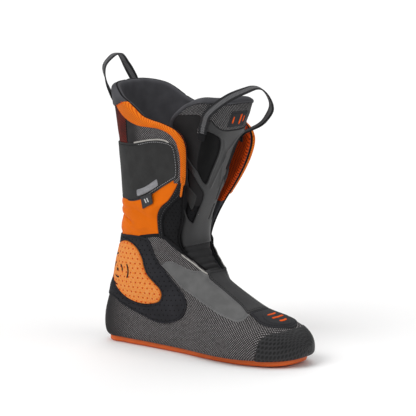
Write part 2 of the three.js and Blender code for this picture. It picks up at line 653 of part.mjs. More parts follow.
// The room that the foot's foam leaves round the lower tongue.
function tongueClearance() {
  return tongueSlab(0.02, TONGUE_FLEX.end + 1.2, (at) => -tongueThickness(at) - 1.2, 3.2, { wing: 89, rows: 6 });
}

const tongueBase = () =>
  tongueSlab(0.15, TONGUE_FLEX.start - 0.02, (at) => -tongueThickness(at), -0.4, { wing: 78, rows: 4, columns: 8 });
const tongueFlex = () =>
  tongueSlab(TONGUE_FLEX.start, TONGUE_FLEX.end, (at) => -tongueThickness(at), 0, { rows: 4, columns: 12 });
const tongueFoam = () =>
  tongueSlab(TONGUE_FLEX.end + 0.03, ROLL.start - 0.03, (at) => -tongueThickness(at), 0);
const tongueLining = () =>
  tongueSlab(TONGUE_FLEX.end + 0.03, ROLL.start - 0.03, (at) => -tongueThickness(at) - GAP - LINING,
    (at) => -tongueThickness(at) - GAP);
const tongueTopRoll = () =>
  tongueSlab(ROLL.start, ROLL.end, (at) => -tongueThickness(at) - 1, ROLL.height, { rows: 2, columns: 12 });

const mirrored = (points) => points.map((p) => new THREE.Vector2(-p.x, p.y));

// Windows on the outer half, as (turn, row). The inner half has the same, mirrored.
const UPPER_WINDOW = loop([[-14, 8.6], [-20, 9.0], [-34, 9.2], [-46, 9.1], [-48, 8.4], [-42, 7.8], [-30, 7.2],
  [-18, 7.05], [-12, 7.8]]);
const LOWER_WINDOW = loop([[-30, 6.9], [-46, 7.4], [-56, 7.1], [-50, 6.4], [-40, 5.8], [-25, 5.6], [-21, 6.1], [-24, 6.6]]);

function tongueShell() {
  let shell = tongueSlab(TONGUE_FLEX.end + 0.1, SHELL_TOP, ...SHELL_HEIGHT, { wing: 74, rows: 7, columns: 12 });
  for (const window of [UPPER_WINDOW, LOWER_WINDOW]) {
    shell = shell.subtract(tonguePatch(window, -6, 12));
    shell = shell.subtract(tonguePatch(mirrored(window), -6, 12));
  }
  return shell;
}

const tongueMeshPanel = () =>
  tongueSlab(above(SHELL_TOP, 0.04), ROLL.start - 0.04, ...PANEL_HEIGHT, { wing: 66, rows: 2, columns: 12 });

const BADGE = { width: 12, start: above(SHELL_TOP, 0.08), end: ROLL.start - 0.1, height: [1.8, 2.6] };
const tongueBadge = () =>
  tongueSlab(BADGE.start, BADGE.end, ...BADGE.height, { wing: BADGE.width, rows: 2, columns: 4 });

// ---- pull loops ----------------------------------------------------------------------------------

// Flat webbing along a curve. across gives, for each point, the direction of the webbing's width.
function strap(points, across, steps) {
  const curve = new THREE.CatmullRomCurve3(points.map((p) => new THREE.Vector3(...p)));
  const widths = new THREE.CatmullRomCurve3(across.map((p) => new THREE.Vector3(...p)));
  const rows = Array.from({ length: steps + 1 }, (_, i) => {
    const t = i / steps;
    const tangent = curve.getTangent(t);
    const width = widths.getPoint(t);
    width.addScaledVector(tangent, -width.dot(tangent)).normalize();
    const thickness = new THREE.Vector3().crossVectors(tangent, width);
    const corner = (w, h) => curve.getPoint(t)
      .addScaledVector(width, (w * STRAP_WIDTH) / 2)
      .addScaledVector(thickness, (h * STRAP_THICKNESS) / 2);
    return { outside: [corner(1, -1), corner(-1, -1)], inside: [corner(1, 1), corner(-1, 1)] };
  });
  return slab(rows.map((r) => r.inside), rows.map((r) => r.outside), false);
}

const REAR_LOOP = {
  points: [[17.2, -26, 284], [14, -27, 296], [7, -25.5, 314], [0, -20, 331], [2, -9, 342], [4, 0, 345], [2, 9, 342],
    [0, 20, 331], [7, 25.5, 314], [14, 27, 296], [17.2, 26, 284]],
  across: [[0.25, -1, 0], [0.3, -1, 0], [0.6, -0.8, 0], [0.9, -0.4, 0], [1, -0.1, 0], [1, 0, 0], [1, 0.1, 0],
    [0.9, 0.4, 0], [0.6, 0.8, 0], [0.3, 1, 0], [0.25, 1, 0]],
};
const rearPullLoop = () => strap(REAR_LOOP.points, REAR_LOOP.across, 20);

const LOOP_TABS = { turn: 57, width: 9, start: 9, end: 9.3, height: [2.7, 3.7] };
const tongueLoopTab = (side) =>
  tongueSlab(LOOP_TABS.start, LOOP_TABS.end, ...LOOP_TABS.height, {
    left: side * LOOP_TABS.turn - LOOP_TABS.width,
    right: side * LOOP_TABS.turn + LOOP_TABS.width,
    rows: 1,
    columns: 2,
  });

const STRAP_LIFT = LOOP_TABS.height[1] + 1.6; // of the webbing's middle over the tongue, at its sewn ends
const strapEnd = (side, row) => tonguePoint(row, side * LOOP_TABS.turn, STRAP_LIFT).toArray();
const strapEndAcross = (side, row) => {
  const forward = tonguePoint(row, side * (LOOP_TABS.turn - 5), STRAP_LIFT);
  return forward.sub(tonguePoint(row, side * (LOOP_TABS.turn + 5), STRAP_LIFT)).normalize().toArray();
};
const TONGUE_LOOP = {
  points: [strapEnd(OUTER, 9.38), strapEnd(OUTER, 9.8), [183, -44, 289], [196, -28, 304], [203, -9, 313], [205, 6, 315],
    [205, 20, 311], [205, 32, 301], [200, 42, 289], [188, 46, 277], strapEnd(INNER, 9.8), strapEnd(INNER, 9.38)],
  across: [strapEndAcross(OUTER, 9.38), strapEndAcross(OUTER, 9.8), [1, 0.6, -0.5], [1, 0.4, -0.7], [1, 0.1, -0.5],
    [1, 0, -0.4], [1, -0.1, -0.5], [1, -0.2, -0.6], [1, -0.3, -0.5], [1, -0.5, -0.3], strapEndAcross(INNER, 9.8),
    strapEndAcross(INNER, 9.38)],
};
const tonguePullLoop = () => strap(TONGUE_LOOP.points, TONGUE_LOOP.across, 22);

// ---- finishes and assembly -----------------------------------------------------------------------

const FINISH = {
  rubber: { color: 0xff7a24, roughness: 0.75 },
  board: { color: 0x8a8376, roughness: 0.9 },
  foam: { color: 0x2e2e30, roughness: 0.9 },
  plastic: { color: 0x3c3c3e, roughness: 0.45 },
  mesh: { color: 0x6a6a6c, roughness: 0.9 },
  hex: { color: 0x232325, roughness: 0.6 },
  smooth: { color: 0x3e3e40, roughness: 0.7 },
  wing: { color: 0x6b6b6d, roughness: 0.6 },
  orange: { color: 0xff800a, roughness: 0.75 },
  pad: { color: 0xffa050, roughness: 0.8 },
  red: { color: 0x8c2f16, roughness: 0.9 },
  lining: { color: 0x3a3a3e, roughness: 0.85 },
  silver: { color: 0x9c9ca0, roughness: 0.4 },
  webbing: { color: 0x303032, roughness: 0.8 },
  piping: { color: 0xb0aea8, roughness: 0.6 },
};

const boot = new THREE.Group();
boot.position.x = -FOOT_LENGTH / 2;

function piece(name, manifold, finish) {
  const material = new THREE.MeshStandardMaterial({ metalness: 0, ...FINISH[finish] });
  const mesh = new THREE.Mesh(meshGeometry(manifold), material);
  mesh.name = name;
  boot.add(mesh);
}

piece("outsole", outsole(), "rubber");
piece("insole_board", insoleBoard(), "board");
piece("footbed", footbed(), "foam");
piece("foot_foam", footFoam(), "foam");
piece("heel_counter", heelCounter(), "plastic");
piece("vamp_mesh", vampMesh(), "mesh");
piece("toe_cap", toeCap(), "hex");
piece("toe_patch", toePatch(), "smooth");
piece("toe_patch_badge", toePatchBadge(), "smooth");
piece("instep_panel", instepPanel(), "smooth");
for (const [side, prefix] of [[OUTER, "outer"], [INNER, "inner"]]) {
  piece(`${prefix}_wing_overlay`, wingOverlay(side), "wing");
  piece(`${prefix}_ankle_surround`, ankleSurround(side), "hex");
  piece(`${prefix}_ankle_pad`, anklePad(side), "pad");
  piece(`${prefix}_throat_piping`, throatPiping(side), "piping");
  piece(`${prefix}_edge_binding`, edgeBinding(side), "hex");
  piece(`${prefix}_collar_mesh`, collarMesh(side), "mesh");
  piece(`${prefix}_collar_trim`, collarTrim(side), "orange");
  piece(`${prefix}_tongue_loop_tab`, tongueLoopTab(side), "webbing");
}
piece("flex_foam", flexFoam(), "foam");
piece("flex_gusset", flexGusset(), "orange");
piece("cuff_foam", cuffFoam(), "foam");
piece("collar_lining", collarLining(), "lining");
piece("cuff_skirt", cuffSkirt(), "orange");
piece("cuff_panel", cuffPanel(), "smooth");
piece("rear_collar_panel", rearCollarPanel(), "red");
piece("reflective_strip", reflectiveStrip(), "silver");
piece("side_tag", sideTag(), "webbing");
piece("rear_loop_tab", rearLoopTab(), "webbing");
piece("rear_pull_loop", rearPullLoop(), "webbing");
piece("tongue_base", tongueBase(), "smooth");
piece("tongue_flex", tongueFlex(), "smooth");
piece("tongue_foam", tongueFoam(), "foam");
piece("tongue_lining", tongueLining(), "lining");
piece("tongue_shell", tongueShell(), "plastic");
piece("tongue_mesh_panel", tongueMeshPanel(), "mesh");
piece("tongue_badge", tongueBadge(), "smooth");
piece("tongue_top_roll", tongueTopRoll(), "lining");
piece("tongue_pull_loop", tonguePullLoop(), "webbing");

export default boot;
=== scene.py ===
"""The looks of a ski-touring boot liner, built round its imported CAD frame.

Shapes are worked out in design millimetres (x from the heel's back to the toe, y from the outer to the inner
side of the leg, z up), and row() turns them into the row frame's metres. A surface is a chart: a table of its
points, with what height and foam add to each. sheet() cuts an outline out of a chart and gives it thickness.
"""

import math

import bpy
import numpy as np
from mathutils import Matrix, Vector

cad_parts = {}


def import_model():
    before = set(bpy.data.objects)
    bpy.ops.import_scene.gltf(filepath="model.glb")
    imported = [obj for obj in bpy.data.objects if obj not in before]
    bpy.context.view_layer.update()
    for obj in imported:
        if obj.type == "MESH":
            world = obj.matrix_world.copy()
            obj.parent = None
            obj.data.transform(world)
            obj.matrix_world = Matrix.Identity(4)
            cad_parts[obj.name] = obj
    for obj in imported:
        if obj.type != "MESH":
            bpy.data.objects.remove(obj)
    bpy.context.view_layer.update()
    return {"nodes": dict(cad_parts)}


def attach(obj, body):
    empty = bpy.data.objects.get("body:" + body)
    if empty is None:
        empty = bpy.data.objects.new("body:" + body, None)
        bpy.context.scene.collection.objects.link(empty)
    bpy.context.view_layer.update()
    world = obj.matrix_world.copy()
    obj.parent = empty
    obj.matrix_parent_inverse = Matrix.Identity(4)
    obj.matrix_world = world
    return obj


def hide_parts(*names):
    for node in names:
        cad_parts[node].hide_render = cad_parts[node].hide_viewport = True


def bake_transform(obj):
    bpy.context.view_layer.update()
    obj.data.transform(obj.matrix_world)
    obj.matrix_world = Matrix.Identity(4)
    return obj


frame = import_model()

# ---- sizes, in millimetres -----------------------------------------------------------------------

FOOT_LENGTH = 286
FOAM = {"low": 6, "side": 7, "high": 5}
FAR = 400  # past every side of the liner
CLOTH = 1.1  # height of the outer fabric over the foam
OVERLAY = 2.4  # height of what is sewn on it
SPACING = 1.8  # of the points that a surface is drawn with
HALF_GIRTH = 165  # of the skin, for how many points go round it
TONGUE_ROW = 24  # length of one row of TONGUE

OUTER, INNER = -1, 1
SIDES = {"outer": OUTER, "inner": INNER}

# One oval section a row: back x, z, front x, z, half-width outside, inside, where it is widest, squareness of
# the back half and of the front half, and y of its middle.
STATIONS = np.array([
    [280, 10, 280, 42, 26, 30, 0.4, 3.5, 2.3, 7],
    [258, 8.5, 258, 47, 36.5, 39, 0.4, 4.5, 2.3, 4],
    [236, 7.5, 236, 52.5, 43.5, 42.5, 0.38, 5, 2.2, 2],
    [212, 7, 212, 59.5, 47, 44, 0.35, 6, 2.1, 0],
    [186, 7, 186, 74, 47, 43, 0.33, 7, 2, -1],
    [160, 7, 160, 91.5, 43.5, 39, 0.33, 8, 1.9, -1],
    [128, 7, 157, 104, 39, 35, 0.34, 9, 1.9, 0],
    [98, 7, 154, 114, 36.5, 34.5, 0.36, 10, 1.9, 0],
    [68, 7, 152, 121, 36, 35.5, 0.4, 10, 2, 0],
    [36, 7, 151, 127, 37, 37, 0.45, 9, 2, 0],
    [7, 8, 151, 133, 38, 38, 0.5, 5.5, 2.1, 0],
    [-1, 30, 152, 139, 38.5, 38.5, 0.5, 3.6, 2.1, 0],
    [4, 57, 153, 146, 39, 39, 0.5, 2.9, 2.2, 0],
    [12.5, 87, 156, 156, 40, 40, 0.48, 2.5, 2.3, 0],
    [19.5, 115, 160, 168, 41, 41, 0.47, 2.4, 2.4, 0],
    [23.5, 140, 166, 181, 42, 42, 0.46, 2.3, 2.6, 0],
    [26, 165, 175, 196, 44, 45, 0.45, 2.3, 2.8, 0],
    [26.5, 190, 185, 213, 46.5, 49, 0.43, 2.3, 3, 0],
    [25.5, 215, 193, 231, 49, 54, 0.42, 2.3, 3.1, 0],
    [23.5, 240, 200, 250, 51.5, 58.5, 0.41, 2.3, 3.1, 0],
    [20, 268, 204, 271, 53.5, 61, 0.41, 2.3, 3.1, 0],
    [16.5, 292, 206, 290, 55, 61.5, 0.41, 2.3, 3, 0],
    [13.5, 317, 207, 311, 56, 61.5, 0.41, 2.3, 3, 0],
])
TOE_STATIONS = 2
TOE_HEIGHT = 22
TOE_ROUNDNESS = {"plan": 2.4, "top": 2.1, "bottom": 3.5}

# The tongue's front line: x, z, half-width, sweep of its wings, squareness, foam thickness.
TONGUE = np.array([
    [176, 75.5, 15, 2, 2.2, 3],
    [163, 85, 16, 2.5, 2.2, 3],
    [150, 96, 18, 4, 2.3, 3],
    [139, 108, 20, 7, 2.5, 3.2],
    [132, 121, 22, 10, 2.8, 4.5],
    [129, 138, 24, 14, 3.1, 6],
    [133, 157, 24.2, 18, 3.3, 6.5],
    [144, 184, 26.8, 24, 3.4, 7],
    [159, 224, 33.5, 33, 3.5, 7.5],
    [172, 256, 37.5, 41, 3.5, 8],
    [182, 281, 40, 47, 3.5, 8],
    [190, 303, 41.5, 51, 3.5, 8],
    [194, 313, 42, 52, 3.5, 8],
])
WING = 84
WING_DROP = {"rows": 0.75, "start": 8, "end": 11, "lean": 0.6}

# ---- curves and surfaces -------------------------------------------------------------------------


def row(points):
    """Design millimetres to the row frame's metres."""
    moved = np.array(points, float) / 1000
    moved[..., 0] -= FOOT_LENGTH / 2000
    return moved


def spline(rows, at):
    """The smooth curve through the rows, at these row numbers."""
    rows, at = np.asarray(rows, float), np.asarray(at, float)
    i = np.clip(np.floor(at).astype(int), 0, len(rows) - 2)
    padded = np.vstack([2 * rows[0] - rows[1], rows, 2 * rows[-1] - rows[-2]])
    a, b, c, d = (padded[i + k] for k in range(4))
    t = (at - i)[..., None]
    return b + 0.5 * ((c - a) * t + (2 * a - 5 * b + 4 * c - d) * t**2 + (3 * b - a - 3 * c + d) * t**3)


def smooth(points, steps=5, closed=False):
    """A smooth line through the points."""
    points = np.asarray(points, float)
    if not closed:
        return spline(points, np.linspace(0, len(points) - 1, steps * (len(points) - 1) + 1))
    ring = np.vstack([points[-1], points, points[:2]])
    return spline(ring, np.linspace(1, len(points) + 1, steps * len(points) + 1)[:-1])


def outline(*stretches):
    """A closed outline from stretches that meet at corners. Three or more points make a smooth stretch."""
    lines = [smooth(s) if len(s) > 2 else np.asarray(s, float) for s in stretches]
    return np.vstack([line[:-1] if np.hypot(*(line[-1] - after[0])) < 0.01 else line
                      for line, after in zip(lines, lines[1:] + lines[:1])])


def toward_zero(amount, power):
    return np.maximum(0, 1 - np.clip(amount, 0, 1) ** power) ** (1 / power)


def sections(at, height=0.0, foam=0.0):
    """The sections at these stations, at a height over the foam and a share of the way through it."""
    toe = np.where(at < TOE_STATIONS, np.sin((TOE_STATIONS - at) / TOE_STATIONS * np.pi / 2), 0)
    where = np.where(toe > 0, TOE_STATIONS * (1 - toe), at)
    bx, bz, fx, fz, outer, inner, widest, low, high, middle = np.moveaxis(spline(STATIONS, where), -1, 0)
    into = {key: depth * foam - height for key, depth in FOAM.items()}
    length = np.hypot(fx - bx, fz - bz)
    ax, az = (fx - bx) / length, (fz - bz) / length
    bx, bz = bx + ax * into["low"] - into["side"] * toe, bz + az * into["low"]
    fx, fz = fx - ax * into["high"] - into["side"] * toe, fz - az * into["high"]
    plan, top, bottom = (toward_zero(toe, TOE_ROUNDNESS[k]) for k in ("plan", "top", "bottom"))
    outer, inner = (outer - into["side"]) * plan, (inner - into["side"]) * plan
    bz = np.where(toe > 0, TOE_HEIGHT + (bz - TOE_HEIGHT) * bottom, bz)
    fz = np.where(toe > 0, TOE_HEIGHT + (fz - TOE_HEIGHT) * top, fz)
    return bx, bz, fx, fz, outer, inner, widest, low, high, middle


def skin(at, turn, height=0.0, foam=0.0):
    """Points of the boot's skin. turn is -180 at the back, 0 in front, and negative on the outer side."""
    at, turn = np.broadcast_arrays(np.asarray(at, float), np.asarray(turn, float))
    bx, bz, fx, fz, outer, inner, widest, low, high, middle = sections(at, height, foam)
    angle = np.radians(90 - np.abs(turn))
    up, across = np.sin(angle), np.maximum(0, np.cos(angle))
    squareness = np.where(up < 0, low, high)
    reach = np.abs(up) ** (2 / squareness)
    along = np.where(up < 0, widest * (1 - reach), widest + (1 - widest) * reach)
    half = np.where(turn < 0, -outer, inner)
    y = middle + half * across ** (2 / squareness)
    return np.stack([bx + (fx - bx) * along, y, bz + (fz - bz) * along], -1)


def skin_at(x, z, side, height):
    """Points of the skin at side-view places, for lines laid on it."""
    x, z = np.asarray(x, float), np.asarray(z, float)
    low, high = np.full(x.shape, float(TOE_STATIONS)), np.full(x.shape, len(STATIONS) - 1.0)

    def off_line(at):
        bx, bz, fx, fz = sections(at, height)[:4]
        return (fx - bx) * (z - bz) - (fz - bz) * (x - bx)

    rising = off_line(high) > 0
    for _ in range(36):
        middle = (low + high) / 2
        past = (off_line(middle) > 0) == rising
        high, low = np.where(past, middle, high), np.where(past, low, middle)
    bx, bz, fx, fz, outer, inner, widest, squareness, front_squareness, middle = sections(low, height)
    along = ((x - bx) * (fx - bx) + (z - bz) * (fz - bz)) / ((fx - bx) ** 2 + (fz - bz) ** 2)
    front = along > widest
    reach = np.where(front, (along - widest) / (1 - widest), (widest - along) / widest)
    half = outer if side == OUTER else inner
    y = middle + side * half * toward_zero(reach, np.where(front, front_squareness, squareness))
    return np.stack([x, y, z], -1)


def tongue(at, turn, height=0.0):
    """Points of the tongue's front, at a row of TONGUE and a turn from its middle."""
    at, turn = np.broadcast_arrays(np.asarray(at, float), np.asarray(turn, float))
    near_top = np.clip((at - WING_DROP["start"]) / (WING_DROP["end"] - WING_DROP["start"]), 0, 1)
    drop = WING_DROP["rows"] * (turn / WING) ** 2 * (1 + WING_DROP["lean"] * np.sign(turn))
    at = at - drop * near_top
    x, z, half_width, sweep, squareness = np.moveaxis(spline(TONGUE, at), -1, 0)[:5]
    low, high = (spline(TONGUE, np.clip(at + step, 0, len(TONGUE) - 1)) for step in (-0.01, 0.01))
    dx, dz = high[..., 0] - low[..., 0], high[..., 1] - low[..., 1]
    length = np.hypot(dx, dz)
    angle = np.radians(turn)
    across = np.abs(np.sin(angle)) ** (2 / squareness) * np.sign(angle)
    back = (sweep + height) * (1 - np.cos(angle) ** (2 / squareness)) - height
    return np.stack([x - dz / length * back, (half_width + height) * across, z + dx / length * back], -1)


# ---- charts: a surface as a table of points ------------------------------------------------------

COLUMNS = ["x", "y", "z", "nx", "ny", "nz", "fx", "fy", "fz", "u", "v", "p", "q", "r", "s"]


class Chart:
    """Rows are points. x, y, z: place; n: what one millimetre of height adds; f: what going through the foam
    adds; u, v: level distances, for weaves; p, q: flat places, for outlines; r, s: how far round and along.
    A sheet's chart also has t, each point's depth inside the outline."""

    def __init__(self, values, triangles):
        self.values, self.triangles, self.known = values, triangles, {}

    def __getattr__(self, name):
        if name in COLUMNS:
            return self.values[:, COLUMNS.index(name)]
        raise AttributeError(name)

    def place(self, height, foam=0.0):
        """The points at this height over the surface, and this share of the way through the foam."""
        count = len(self.values)
        height, foam = (np.broadcast_to(np.asarray(k, float), count)[:, None] for k in (height, foam))
        return self.values[:, 0:3] + height * self.values[:, 3:6] + foam * self.values[:, 6:9]


def grid_chart(place, raised, through, u, v, p, q, rings=None):
    """A chart from a grid of points, the same one millimetre higher, and the same on the foam's far side."""
    rows, columns = u.shape
    flat_places = [k[..., None] for k in (u, v, p, q, *(rings or (u, v)))]
    flat = np.concatenate([place, raised - place, through - place, *flat_places], -1)
    flat = flat.reshape(-1, len(COLUMNS))
    index = np.arange(rows * columns).reshape(rows, columns)
    a, b, c, d = index[:-1, :-1], index[:-1, 1:], index[1:, 1:], index[1:, :-1]
    triangles = np.concatenate([np.stack([a, b, c], -1).reshape(-1, 3),
                                np.stack([a, c, d], -1).reshape(-1, 3)])
    corners = flat[triangles][..., 0:3]
    facing = np.cross(corners[:, 1] - corners[:, 0], corners[:, 2] - corners[:, 0])
    if (facing * flat[triangles[:, 0], 3:6]).sum() < 0:
        triangles = triangles[:, ::-1]
    return Chart(flat, triangles)


def along_path(points, axis):
    """How far each point is along its line."""
    steps = np.linalg.norm(np.diff(points, axis=axis), axis=-1)
    zero = np.zeros_like(np.take(steps, [0], axis))
    return np.concatenate([zero, np.cumsum(steps, axis)], axis)


def even_stations(first, last, spacing):
    """Stations so close that no two neighbours are further apart than the spacing."""
    fine = np.linspace(first, last, 1200)
    lines = skin(fine[:, None], np.array([-180, -140, -90, -40, 0, 90])[None])
    length = np.concatenate([[0], np.cumsum(np.linalg.norm(np.diff(lines, axis=0), axis=-1).max(1))])
    return np.interp(np.linspace(0, length[-1], int(length[-1] / spacing) + 2), length, fine)


def even_turns(at, count):
    """Turns from 0 to 180 that divide one half of the section at `at` into equal lengths, for each side."""
    low, high = sections(np.array([at]))[7:9]
    share = np.linspace(0, 1, 50)
    angles = [np.degrees(np.arcsin(share ** (n[0] / 2))) for n in (low, high)]
    angles += [np.degrees(np.arccos(share ** (n[0] / 2))) for n in (low, high)]
    signs = [-1, 1, -1, 1]
    turns = np.unique(np.concatenate([90 - s * a for s, a in zip(signs, angles)]).round(9))
    found = []
    for side in (OUTER, INNER):
        line = skin(at, side * np.maximum(turns, 1e-9))
        length = along_path(line, 0)
        found.append(np.interp(np.linspace(0, length[-1], count), length, turns))
    return found


def level_weave(place, normal, middle):
    """Flat distances for weaves: x and z, less the lengths that go round the back or over the foot's top."""
    step = np.abs(np.diff(place, axis=1))
    facing = (normal[:, 1:] + normal[:, :-1]) / 2
    round_back = facing[..., 0] ** 2 * (np.hypot(step[..., 0], step[..., 1]) - step[..., 0])
    over_top = np.maximum(facing[..., 2], 0) ** 2 * step[..., 1]
    sums = []
    for lengths in (round_back, over_top):
        total = np.concatenate([np.zeros((len(place), 1)), np.cumsum(lengths, 1)], 1)
        sums.append(np.abs(total - total[:, [middle]]))
    return place[..., 0] - sums[0], place[..., 2] - sums[1]


def skin_chart():
    """The whole skin. Its columns run from the back round the outer side, the front and the inner side."""
    stations = even_stations(0.0, len(STATIONS) - 1.0, SPACING)
    count = int(HALF_GIRTH / SPACING)
    turns = []
    for at in stations:
        outer, inner = even_turns(at, count)
        turns.append(np.concatenate([-outer[::-1], inner[1:]]))
    turns = np.array(turns)
    turns[:, 0] = -180
    at = stations[:, None] + np.zeros_like(turns)
    place, raised = skin(at, turns), skin(at, turns, 1)
    u, v = level_weave(place, raised - place, count - 1)
    rings = along_path(place, 1), along_path(place, 0)
    return grid_chart(place, raised, skin(at, turns, 0, 1), u, v, place[..., 0], place[..., 2], rings)


def with_tails(layers, u, v, tail):
    """A grid's layers and flat places, with a straight tail in line with the end columns of each side."""
    for end, inward in ((0, 1), (-1, -2)):
        steps = np.arange(SPACING, tail + SPACING, SPACING)
        if end == 0:
            steps = steps[::-1]
        away = unit(layers[0][:, end] - layers[0][:, inward])
        tails = steps[None, :, None] * away[:, None]
        old = [*layers, u, v]
        new = [tails + layer[:, [end]] for layer in layers]
        new += [u[:, [end]] + steps * np.sign(u[0, end]), v[:, [end]] + 0 * steps]
        pairs = zip(new, old) if end == 0 else zip(old, new)
        *layers, u, v = [np.concatenate(pair, 1) for pair in pairs]
    return layers, u, v


def tongue_chart(first, last, wing, tail):
    """The tongue's front from one row of TONGUE to another, with even columns and its tails."""
    rows = np.linspace(first, last, int((last - first) * TONGUE_ROW / SPACING))
    fine = np.linspace(0, 1, 500) ** 2 * wing
    length = along_path(tongue(9.0, fine), 0)
    half = np.interp(np.linspace(0, length[-1], int(length[-1] / SPACING) + 2), length, fine)
    at, turn = np.meshgrid(rows, np.concatenate([-half[:0:-1], half]), indexing="ij")
    foam = spline(TONGUE, at)[..., 5]
    layers = [tongue(at, turn), tongue(at, turn, 1), tongue(at, turn, -foam)]
    layers, u, v = with_tails(layers, *tongue_flat(at, turn), tail)
    return grid_chart(*layers, u, v, u, v)


def tongue_flat(at, turn):
    """Where a point of the tongue lies when it is unrolled, in millimetres from its base and its middle."""
    at, turn = np.asarray(at, float), np.asarray(turn, float)
    share = np.linspace(0, 1, 25)
    across = tongue(at[..., None] + 0 * share, turn[..., None] * share)
    line = np.linspace(0, 12, 240)
    middle = along_path(tongue(line, 0 * line), 0)
    return along_path(across, at.ndim)[..., -1] * np.sign(turn), np.interp(at, line, middle)


def plan_chart(x0, x1, y0, y1, spacing):
    x, y = np.meshgrid(np.arange(x0, x1 + spacing, spacing), np.arange(y0, y1 + spacing, spacing),
                       indexing="ij")
    place = np.stack([x, y, 0 * x], -1)
    return grid_chart(place, place + [0, 0, 1], place, x, y, x, y)


# ---- regions: signed distances to an outline, negative inside ------------------------------------


def line_distance(px, py, line):
    best = np.full(px.shape, 1e9)
    for (x0, y0), (x1, y1) in zip(line[:-1], line[1:]):
        dx, dy = x1 - x0, y1 - y0
        t = np.clip(((px - x0) * dx + (py - y0) * dy) / max(dx * dx + dy * dy, 1e-12), 0, 1)
        best = np.minimum(best, np.hypot(px - x0 - t * dx, py - y0 - t * dy))
    return best


def polygon_distance(px, py, polygon, margin=9):
    low, high = polygon.min(0), polygon.max(0)
    box = np.hypot(np.maximum(0, np.maximum(low[0] - px, px - high[0])),
                   np.maximum(0, np.maximum(low[1] - py, py - high[1])))
    near = box < margin
    nx, ny = px[near], py[near]
    ring = np.vstack([polygon, polygon[:1]])
    inside = np.zeros(nx.shape, bool)
    for (x0, y0), (x1, y1) in zip(ring[:-1], ring[1:]):
        if y0 != y1:
            inside ^= ((y0 > ny) != (y1 > ny)) & (nx < (x1 - x0) * (ny - y0) / (y1 - y0) + x0)
    found = box
    found[near] = line_distance(nx, ny, ring) * np.where(inside, -1, 1)
    return found


def kept(chart, points, px, py):
    """The distances to an outline, worked out once for each chart."""
    if id(points) not in chart.known:
        chart.known[id(points)] = points, polygon_distance(px, py, points)
    return chart.known[id(points)][1]


def shape(points):
    return lambda c: kept(c, points, c.p, c.q)


def plan_shape(points, above, below=100):
    """Inside an outline seen from above, between two heights."""
    return lambda c: np.maximum.reduce([kept(c, points, c.x, c.y), above - c.z, c.z - below])


def all_of(*regions):
    return lambda c: np.maximum.reduce([region(c) for region in regions])


def any_of(*regions):
    return lambda c: np.minimum.reduce([region(c) for region in regions])


def without(region):
    return lambda c: -region(c)


def over(z):
    return lambda c: z - c.z


def under(z):
    return lambda c: c.z - z


def behind(x):
    return lambda c: c.x - x


def before(x):
    return lambda c: x - c.x


def on_side(side, gap=0.15):
    return lambda c: gap - side * c.y


def outside(region, gap=0.3):
    """Everywhere but a region, with a little air between."""
    return without(wider(region, gap))


def box(x0, x1, y0, y1):
    """The four corners of an outline with level and upright sides."""
    return np.array([[x0, y0], [x1, y0], [x1, y1], [x0, y1]], float)


def wider(region, by):
    return lambda c: region(c) - by


# ---- cutting a chart and giving it thickness -----------------------------------------------------


def split(values, triangles, distance, level):
    """Cuts the triangles along distance = level."""
    high = distance > level
    marks = high[triangles]
    count = marks.sum(1)
    crossed = (count == 1) | (count == 2)
    part, marks = triangles[crossed], marks[crossed]
    if not len(part):
        return values, triangles, distance
    lone = np.where(marks.sum(1) == 1, marks.argmax(1), (~marks).argmax(1))
    each = np.arange(len(part))
    a, b, c = (part[each, (lone + k) % 3] for k in range(3))
    ends = np.sort(np.stack([np.concatenate([a, a]), np.concatenate([b, c])], 1), 1)
    ends, index = np.unique(ends, axis=0, return_inverse=True)
    index = index.reshape(-1)
    first, second = distance[ends[:, 0]], distance[ends[:, 1]]
    t = ((level - first) / (second - first))[:, None]
    added = values[ends[:, 0]] * (1 - t) + values[ends[:, 1]] * t
    ab, ac = len(values) + index[:len(a)], len(values) + index[len(a):]
    new = [np.stack(corners, 1) for corners in ((a, ab, ac), (ab, b, c), (ab, c, ac))]
    triangles = np.concatenate([triangles[~crossed], *new])
    return np.concatenate([values, added]), triangles, np.concatenate([distance, np.full(len(added), level)])


def cut(chart, region, depths):
    """The part of a chart inside the region, with edges at these depths, and each point's depth."""
    distance = region(chart)
    values, triangles = chart.values, chart.triangles[(distance[chart.triangles] < 0).any(1)]
    for depth in depths:
        values, triangles, distance = split(values, triangles, distance, -depth)
        triangles = triangles[distance[triangles].mean(1) < 0]
    used, triangles = np.unique(triangles, return_inverse=True)
    return Chart(values[used], triangles.reshape(-1, 3)), -distance[used]


def mesh_object(name, points, faces, material, maps=None):
    """An object from millimetre points. maps gives each UV map's places, one for each corner of each face."""
    mesh = bpy.data.meshes.new(name)
    mesh.from_pydata(row(points).tolist(), [], [list(map(int, f)) for f in faces])
    for title, places in (maps or {}).items():
        layer = mesh.uv_layers.new(name=title)
        layer.data.foreach_set("uv", np.asarray(places, np.float32).ravel())
    mesh.polygons.foreach_set("use_smooth", [True] * len(mesh.polygons))
    mesh.set_sharp_from_angle(angle=math.radians(55))
    mesh.materials.append(material)
    found = bpy.data.objects.new(name, mesh)
    bpy.context.scene.collection.objects.link(found)
    return found


EDGE = (0, 0.12, 0.4, 0.8, 1.3)


